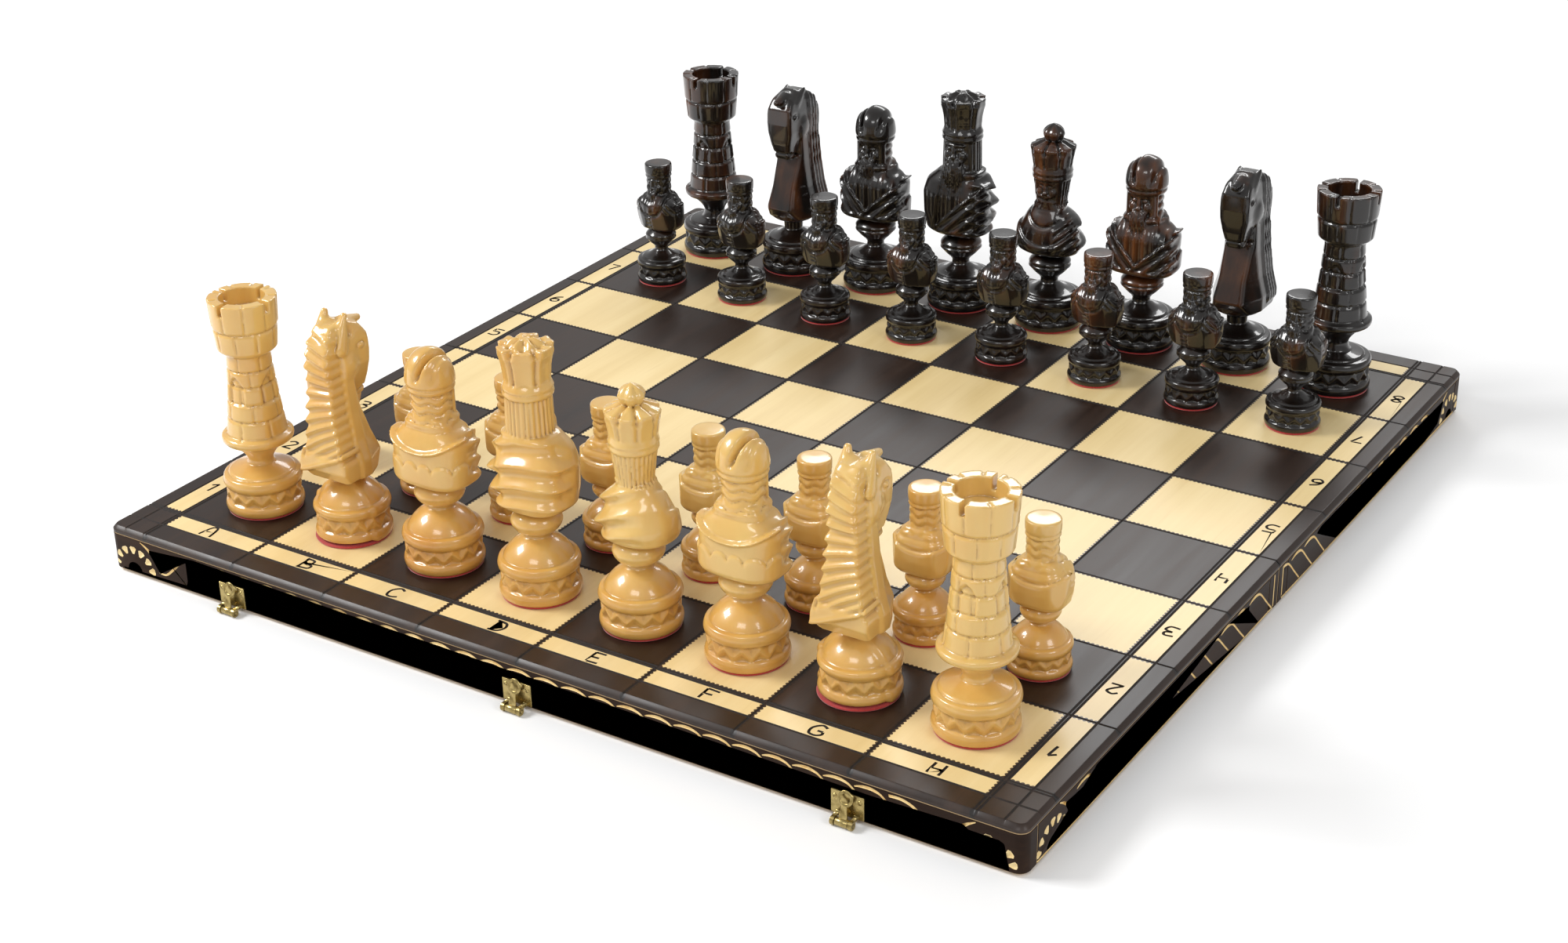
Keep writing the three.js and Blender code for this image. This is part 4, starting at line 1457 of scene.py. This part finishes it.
# %%
def queen(block, army):
    foot(block, army)
    levels = [
        (50, 16, 13), (52, 21.5, 16.5), (57, 23.4, 17.8), (66, 22.2, 16.5), (75, 17.5, 13.5),
        (83, 10.5, 9.5)
    ]
    block.add(torso(block, levels, 2.3), 1.0)
    behind = np.clip(0.5 - block.y / 7, 0, 1)
    cape = scoops((block.z - 56 + 0.006 * block.x**2 - 0.35 * block.x) / 11.5)
    fading = np.clip(0.75 - block.x / 22, 0.12, 1)
    neckline = np.hypot(block.x, 0.85 * (block.z - 86))
    chest = -1.3 * np.clip((25 - neckline) / 1.2, 0, 1) + groove(neckline - 14, 1.0, 1.0)
    chest = chest + 1.2 * scoops((block.z + 0.9 * block.x) / 6) * within(-block.x, 10, 30, 3)
    wrap = within(block.z, 54, 80, 3)
    block.swell(wrap * (3.6 * behind * cape * fading + (1 - behind) * chest))
    block.add(turned(block, [(0, 76), (10.4, 78.5), (9.4, 82, -0.3), (11.9, 101), (0, 102)]), 1.0)
    fluted(block, 82, 99, 28, 1.2, 0.9)
    face(block, 98.0, 10.2, 0.86)
    block.add(
        turned(block, [
            (0, 99), (12.0, 99.8), (12.8, 101.6, 0.5), (12.2, 103.2, 0.3), (12.9, 105.2, 0.5),
            (12.4, 107.4), (12.8, 110), (14.8, 119.6, -0.2), (14.2, 121.4, 0.3),
            (6.5, 124.4), (0, 124.8),
        ]),
        0.3,
    )  # fmt: skip
    crown(block, 8, 108.5, 121, 0.75)
    bud = turned(
        block, [(0, 123), (4.2, 124.0), (7.4, 128.6, 0.5), (4.6, 132.4, 0.3), (0, 135.2, 0.2)]
    )
    facets = 0.9 * (np.abs(np.sin(3 * block.turn)) - 0.6) - groove(block.z - 127.8, 1.4, -0.4)
    block.add(bud - facets * within(block.z, 124.5, 133.5, 1.5), 0.5)


# %% [markdown]
# Bishop: a mantle whose rim rises to points at the shoulders. Below it the robe has a row of arches
# behind and crossing folds in front. Waves of hair lead up to a round cap with a cleft.


# %%
def bishop(block, army):
    foot(block, army)
    levels = [
        (50.5, 21, 15.5), (52.5, 23, 17), (74, 23.8, 17.5), (79, 21.5, 15.5), (84, 15, 12.5),
        (88, 11, 11)
    ]
    block.add(torso(block, levels, 3.0), 1.0)
    behind = np.clip(0.5 - block.y / 6, 0, 1)
    rim = 71.5 + 0.014 * block.x**2
    above = np.clip((block.z - rim) / 1.0, 0, 1)
    block.swell(
        behind
        * (
            -2.0 * above * within(block.z, 40, 82, 3) + 1.2
            * np.exp(-(((block.z - rim) / 1.3) ** 2))
        )
    )
    arch = (block.turn * 12 / (2 * np.pi)) % 1 - 0.5
    arches = block.z - (60.5 + 5.0 * np.sqrt(np.clip(1 - (2 * arch) ** 2, 0, 1)))
    block.swell(
        behind * (groove(arches, 0.8, 1.0) - 0.9 * np.clip(arches / 1.0, 0, 1))
        * (block.z < rim - 1.0)
    )
    # Lapels in front: the one from the left shoulder lies over the other.
    left = block.z - 58 - 1.15 * block.x
    right = block.z - 56 + 0.9 * block.x
    upper = np.clip(left / 0.8, 0, 1) * np.clip(right / 0.8, 0, 1)
    lap = np.where(right < 0, scoops(right / 8.5), scoops(left / 9.5))
    shirt = 0.9 * scoops(block.x / 6.0) - 1.6
    block.swell(
        (1 - behind) * within(block.z, 55, 84, 2) * (upper * shirt + (1 - upper) * 1.7 * lap)
    )
    block.add(turned(block, [(0, 80), (12.2, 84), (10.8, 89, -0.5), (10.7, 103), (0, 104)]), 1.0)
    wavy(block, 86, 101.5, 3, 1.3, 1.15)
    locks = np.abs(np.abs(block.turn) - 0.85)
    block.add(
        np.maximum(
            np.maximum((locks - 0.26) * 11, block.radius - 12.2), np.abs(block.z - 93) - 10
        ),
        1.0
    )
    face(block, 101.0, 10.9, 0.95)
    beard(block, 93, 76, 6.0, 11.5)
    cap = [
        (0, 100.5), (11.8, 102), (13.3, 106.5, 0.5), (13.0, 113, 0.2), (7.6, 122.6, 1.2),
        (0, 125.4, 0.5)
    ]
    block.add(turned(block, cap), 0.3)
    slant = block.x - 3.0 - 0.22 * (block.z - 114) - 0.12 * block.y
    block.swell(groove(slant, 1.4, 4.8) * within(block.z, 113, 130, 4))
    block.swell(groove(block.z - 105.5, 0.8, 0.9) * (block.radius > 9))
    side = block.x + 8.5 + 0.12 * (block.z - 114)
    block.swell(groove(side, 1.6, 1.4) * within(block.z, 112, 130, 4))
    block.swell(groove(block.x - 8.5, 1.4, 1.0) * within(block.z, 112, 130, 4))


# %% [markdown]
# Rook: a cup on the foot carries a tapering tower of masonry with an arched doorway. Its head is
# hollow, with four narrow slots in the rim.


# %%
def rook(block, army):
    foot(block, army, cut_off=30.0 if army == "white" else 26.0)
    block.add(
        turned(block, [
            (0, 22), (9, 24), (7.0, 30.0, -0.3), (7.6, 32.0), (18.8, 42.0, -1.2), (19.8, 44.0, 0.3),
            (19.4, 46.2, 0.3), (16.6, 47.4), (12.2, 92.5, -0.3), (12.6, 95.0), (16.6, 98.0, 0.3),
            (17.6, 108.6), (18.0, 110.0), (19.0, 127.0), (12.5, 127.0), (12.2, 117.0), (0, 116.6),
        ]),
        0.5,
    )  # fmt: skip
    # Courses of stone: rings round the tower, with the upright joints of each course staggered.
    courses = [47.0, 57.0, 67.0, 77.0, 86.0, 94.0]
    for number, (low, high) in enumerate(zip(courses, courses[1:])):
        block.swell(groove(block.z - high, 0.65, 1.1) * (block.radius < 18) * (high < 93))
        stone_joints(block, 6, 13.5, 0.5 * (number % 2) + 0.2, low, high)
    block.swell(groove(block.z - 110.0, 0.8, 1.4) * (block.radius > 14))
    stone_joints(block, 9, 18, 0.1, 99.0, 109.5)
    stone_joints(block, 9, 18, 0.6, 110.5, 127.5)
    slot = np.minimum(np.abs(block.x), np.abs(block.y))
    block.cut(np.maximum(np.maximum(slot - 1.2, 120.5 - block.z), 9 - block.radius), 0.3)
    # A pointed window on each side of the tower.
    for x, y in ((0, -1), (0, 1), (1, 0), (-1, 0)):
        across = np.abs(block.x * y - block.y * x)
        facing = np.clip(block.x * x + block.y * y - 4, 0, 1)
        lancet = np.hypot(across + 5, np.maximum(block.z - 74, 0)) - 9.5
        opening = np.clip(-lancet / 0.8, 0, 1) * within(block.z, 67.6, 90, 0.5)
        block.swell(
            facing * (groove(lancet, 0.8, 1.5) * within(block.z, 67.6, 90, 0.5) - 1.3 * opening)
        )


def stone_joints(block, count, radius, shift, low, high):
    """Short upright cuts round a course of stone."""
    joint = (block.turn * count / (2 * np.pi) + shift) % 1
    across = np.minimum(joint, 1 - joint) * 2 * np.pi / count * radius
    block.swell(
        groove(across, 0.6, 0.9) * within(block.z, low, high, 0.4) * (block.radius > radius - 4)
    )


# %% [markdown]
# Pawn: a square-shouldered bust with a collar and buttons in front and one scored line behind,
# waves of hair and a low round hat.


# %%
def pawn(block, army):
    foot(block, army, size=0.76)
    levels = [
        (37.5, 13, 10.5), (39.5, 14.8, 12), (46, 16, 13), (55.5, 16.4, 13), (58.5, 13.5, 11),
        (62, 8.8, 8.4)
    ]
    bust = torso(block, levels, 3.4, 0.8)
    # Flats: one cut off each corner, in front deeper and leaning in towards the foot.
    for turn, reach, lean in ((52, 15.4, 0.1), (128, 16.0, 0), (36, 14.2, 0.25), (14, 12.9, 0.3)):
        for hand in (-1, 1):
            a = math.radians(turn)
            out = hand * block.x * math.sin(a) + block.y * math.cos(a)
            bust = -meet(-bust, -(out - reach - lean * np.minimum(block.z - 52, 0)), 0.3)
    block.add(bust, 0.8)
    behind = np.clip(0.5 - block.y / 4, 0, 1)
    rim = 51.5 + 0.02 * block.x**2
    above = np.clip((block.z - rim) / 0.9, 0, 1)
    block.swell(
        behind
        * (-1.3 * above * within(block.z, 30, 58, 2) + groove(block.z - rim - 0.4, 0.8, 0.6))
    )
    bib = np.hypot(block.x, 0.8 * (block.z - 60)) - 9.4
    front = (1 - behind) * within(block.z, 38, 62, 1)
    block.swell(
        front * (groove(bib, 0.8, 1.4) + 0.5 * np.clip(-bib, 0, 1) * (1 + scoops(block.x / 4.2)))
    )
    shoulder = folds((block.z + 1.3 * np.abs(block.x)) / 4.4) - 1.0
    block.swell(
        1.3 * shoulder * within(np.abs(block.x), 9.5, 20, 1) * within(block.z, 51, 60, 1)
        * (block.y > -1)
    )
    notches = (folds((block.z - 39) / 2.9) - 1.0) * within(block.x, 0.8, 4.2, 0.5)
    block.swell(0.9 * front * notches * within(block.z, 39, 50, 0.5))
    block.swell(front * groove(block.x - 0.4, 0.5, 0.6) * within(block.z, 38, 51, 0.5))
    block.add(turned(block, [(0, 56), (9.2, 59), (8.0, 63, -0.3), (7.9, 75), (0, 76)]), 0.8)
    wavy(block, 60, 74, 3, 1.0, 1.0)
    face(block, 72.6, 8.1, 0.7)
    beard(block, 66.5, 57.5, 4.2, 8.2)
    hat = [
        (0, 73.6), (8.3, 74.2), (8.9, 75.2, 0.2), (8.3, 76.2), (8.9, 77.0), (9.0, 82.4, 0.1),
        (8.3, 83.2, 0.2), (0, 83.4)
    ]
    block.add(turned(block, hat), 0.3)


# %% [markdown]
# Knight: the neck and the head are outlined as seen from the side and given a thickness that
# narrows to the muzzle. The mane runs down the back with slanting cuts, and two ears stand up.

# %%
NECK = [
    (-15, 36.5), (10, 36.5), (18.5, 46), (13, 60), (5, 80), (3, 97), (-15, 106), (-18, 80),
    (-19, 60), (-19.5, 44)
]
HEAD = [
    (-17, 94), (0, 96), (3.5, 85), (6, 80), (13.5, 81), (16.5, 92), (17.8, 106),
    (17.0, 116), (12, 123), (2, 127), (-8, 125.5), (-15, 118), (-18, 106),
]  # fmt: skip


def knight(block, army):
    foot(block, army, cut_off=34.0 if army == "white" else 28.0)
    collar = [
        (0, 26), (6.2, 28), (6.6, 34.0), (12.5, 36.5, -0.5), (14.0, 38.5, 0.4), (14.0, 40), (0, 42)
    ]
    block.add(turned(block, collar), 0.8)
    side = np.abs(block.x)
    neck_half = np.interp(block.z, [36, 39, 48, 60, 76, 100], [12, 16.5, 16.5, 13.2, 10.8, 9.2])
    neck = outline_distance(NECK, block.y, block.z)
    chest = 0.45 * np.clip(block.y - 2, 0, 20)
    block.add(-meet(-neck, -(side - neck_half + chest), 2.0), 1.0)
    head_half = np.interp(block.z, [79, 88, 100, 112, 120, 128], [5.6, 6.8, 9.3, 9.6, 8.6, 5.5])
    head = outline_distance(HEAD, block.y, block.z)
    block.add(-meet(-head, -(side - head_half), 3.0), 1.2)
    for hand in (-1, 1):
        if army == "white":  # ears stand up from both sides of the mane
            block.add(
                slab(block, (hand * 6.2, -5.0, 113), (hand * 6.8, 2.0, 129.5), 5.6, 2.0), 2.0
            )
            block.cut(egg(block, (hand * 8.2, 3.4, 123), (1.8, 2.4, 5.6)), 0.8)
        else:  # laid back along the head
            block.add(slab(block, (hand * 6.0, 6.0, 118), (hand * 6.6, -5.0, 126), 3.2, 1.0), 1.5)
        block.cut(egg(block, (hand * 10.6, 10.0, 111), (2.4, 4.6, 2.6)), 1.0)  # eye sockets
        block.add(egg(block, (hand * 9.0, 10.2, 110.6), (1.6, 2.4, 1.7)), 0.5)
        block.add(egg(block, (hand * 5.6, 0.0, 102), (6.0, 9.0, 9.5)), 1.5)  # cheeks
        block.cut(egg(block, (hand * 6.4, 12.0, 85), (1.2, 1.6, 1.2)), 0.5)  # nostrils
    if army == "white":
        block.cut(egg(block, (0, -1, 131), (2.6, 10, 6)), 2.0)
    block.add(slab(block, (0, 8, 122), (0, 19.0, 121.5), 4.6, 2.0), 1.5)  # forelock
    block.swell(
        groove(block.z - 84.0 - 0.2 * (block.y - 8), 0.6, 0.9) * (block.y > 4) * (block.z < 88)
    )
    # The mane: a strip down the back, scored by slanting gouges and ended by a long slanting cut.
    down = np.clip((124 - block.z) / 76, 0, 1)
    strip = 6.5 + 5.5 * down
    back = np.clip((-block.y - 4) / 2.5, 0, 1)
    slope = np.interp(block.z, [50, 80, 110], [-0.75, -0.3, 0.35])
    marks = scoops((block.z + slope * block.x) / 6.4)
    block.swell(1.9 * marks * within(side, 0, strip - 1, 3.0) * back * within(block.z, 55, 120, 3))
    if army == "black":  # long locks hang beside the neck
        locks = within(
            block.y, -19, -5, 1.0
        ) * within(side, 7, 20, 1.0) * within(block.z, 44, 122, 3)
        block.swell(locks * (1.5 + 0.8 * scoops(block.y / 3.4)))
    else:
        block.swell(groove(side - strip - 1.2, 1.0, 1.5) * back * within(block.z, 52, 124, 2))
        lower = block.z - 48.5 - 0.45 * block.x
        block.swell(
            back
            * (-1.4 * np.clip(-lower / 1.2, 0, 1) + 0.9 * np.exp(-(((lower - 0.8) / 1.5) ** 2)))
        )


def slab(block, start, end, radius, tip):
    """A round bar from start to end that narrows from radius to tip."""
    start, end = np.array(start, float), np.array(end, float)
    along = end - start
    offsets = [axis - at for axis, at in zip((block.x, block.y, block.z), start)]
    share = sum(o * a for o, a in zip(offsets, along)) / (along @ along)
    share = np.clip(share, 0, 1)
    away = sum((o - share * a) ** 2 for o, a in zip(offsets, along))
    return np.sqrt(away) - (radius + (tip - radius) * share)

# %% [markdown]
# ## Standing the men on the board
# Each army has six kinds of man. A kind is carved once, and every man of that kind shares its mesh,
# as a workshop turns and carves to one pattern. The light men face the far side and the dark men
# are turned round to face them. Each keeps its place from the model and rides on its own body, so
# it can be lifted. A felt disc goes under every foot.

# %%
SCULPTS = {  # how each kind is carved, and the half sizes and height of the block it needs
    "rook": (rook, 23, 23, 128),
    "knight": (knight, 23, 23, 133),
    "bishop": (bishop, 27, 24, 127),
    "king": (king, 29, 25, 146),
    "queen": (queen, 27, 24, 136),
    "pawn": (pawn, 18, 18, 85),
}
lacquers = {"white": honey.material, "black": dark.material}


def felt_disc(radius):
    """A felt disc with a soft edge, from a little below the foot up to it."""
    profile = [
        (0, -0.2), (radius - 0.4, -0.2), (radius, 0.05), (radius + 0.05, 0.4), (radius, 0.8),
        (radius - 0.4, 1.1), (0, 1.1)
    ]
    rings = [
        [(r * math.cos(2 * math.pi * k / 64) * MM, r * math.sin(2 * math.pi * k / 64) * MM, z * MM)
         for k in range(64)]
        for r, z in profile
    ]  # fmt: skip
    corners, faces = tube_mesh(rings, False)
    mesh = bpy.data.meshes.new("felt_disc")
    mesh.from_pydata(corners, [], faces)
    shape = bmesh.new()
    shape.from_mesh(mesh)
    bmesh.ops.remove_doubles(shape, verts=shape.verts, dist=1e-6)
    bmesh.ops.recalc_face_normals(shape, faces=shape.faces)
    shape.to_mesh(mesh)
    shape.free()
    mesh.polygons.foreach_set("use_smooth", [True] * len(mesh.polygons))
    mesh.materials.append(felt.material)
    return mesh


discs = {"officer": felt_disc(20.9), "pawn": felt_disc(15.9)}
patterns = {}
for army in ("white", "black"):
    for kind, (sculpt, *size) in SCULPTS.items():
        block = Block(*size)
        sculpt(block, army)
        mesh = mesh_from(f"{army}_{kind}", *surface(block))
        mesh.materials.append(lacquers[army])
        patterns[army, kind] = mesh
        print(army, kind, len(mesh.polygons), "faces")

# %%
foot_z = TOP * MM + 0.3 * MM
for node in list(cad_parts):
    army, _, rest = node.partition("_")
    kind = rest.rpartition("_")[0]
    if (army, kind) not in patterns:
        continue
    low, high = (Vector(corner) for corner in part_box(node))
    file = "abcdefgh".index(node[-1])
    rank = {"white": (1, 0), "black": (6, 7)}[army][kind != "pawn"]
    place = ((file - 3.5) * SQUARE * MM, (rank - 3.5) * SQUARE * MM, foot_z)
    disc = discs["pawn" if kind == "pawn" else "officer"]
    for name, mesh in ((f"{node}_carving", patterns[army, kind]), (f"{node}_felt", disc)):
        piece = bpy.data.objects.new(name, mesh)
        bpy.context.collection.objects.link(piece)
        piece.location = place
        piece.rotation_euler[2] = math.pi if army == "black" else 0.0
        bpy.context.view_layer.update()
        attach(piece, node)
        if mesh is not disc:
            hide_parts(node)
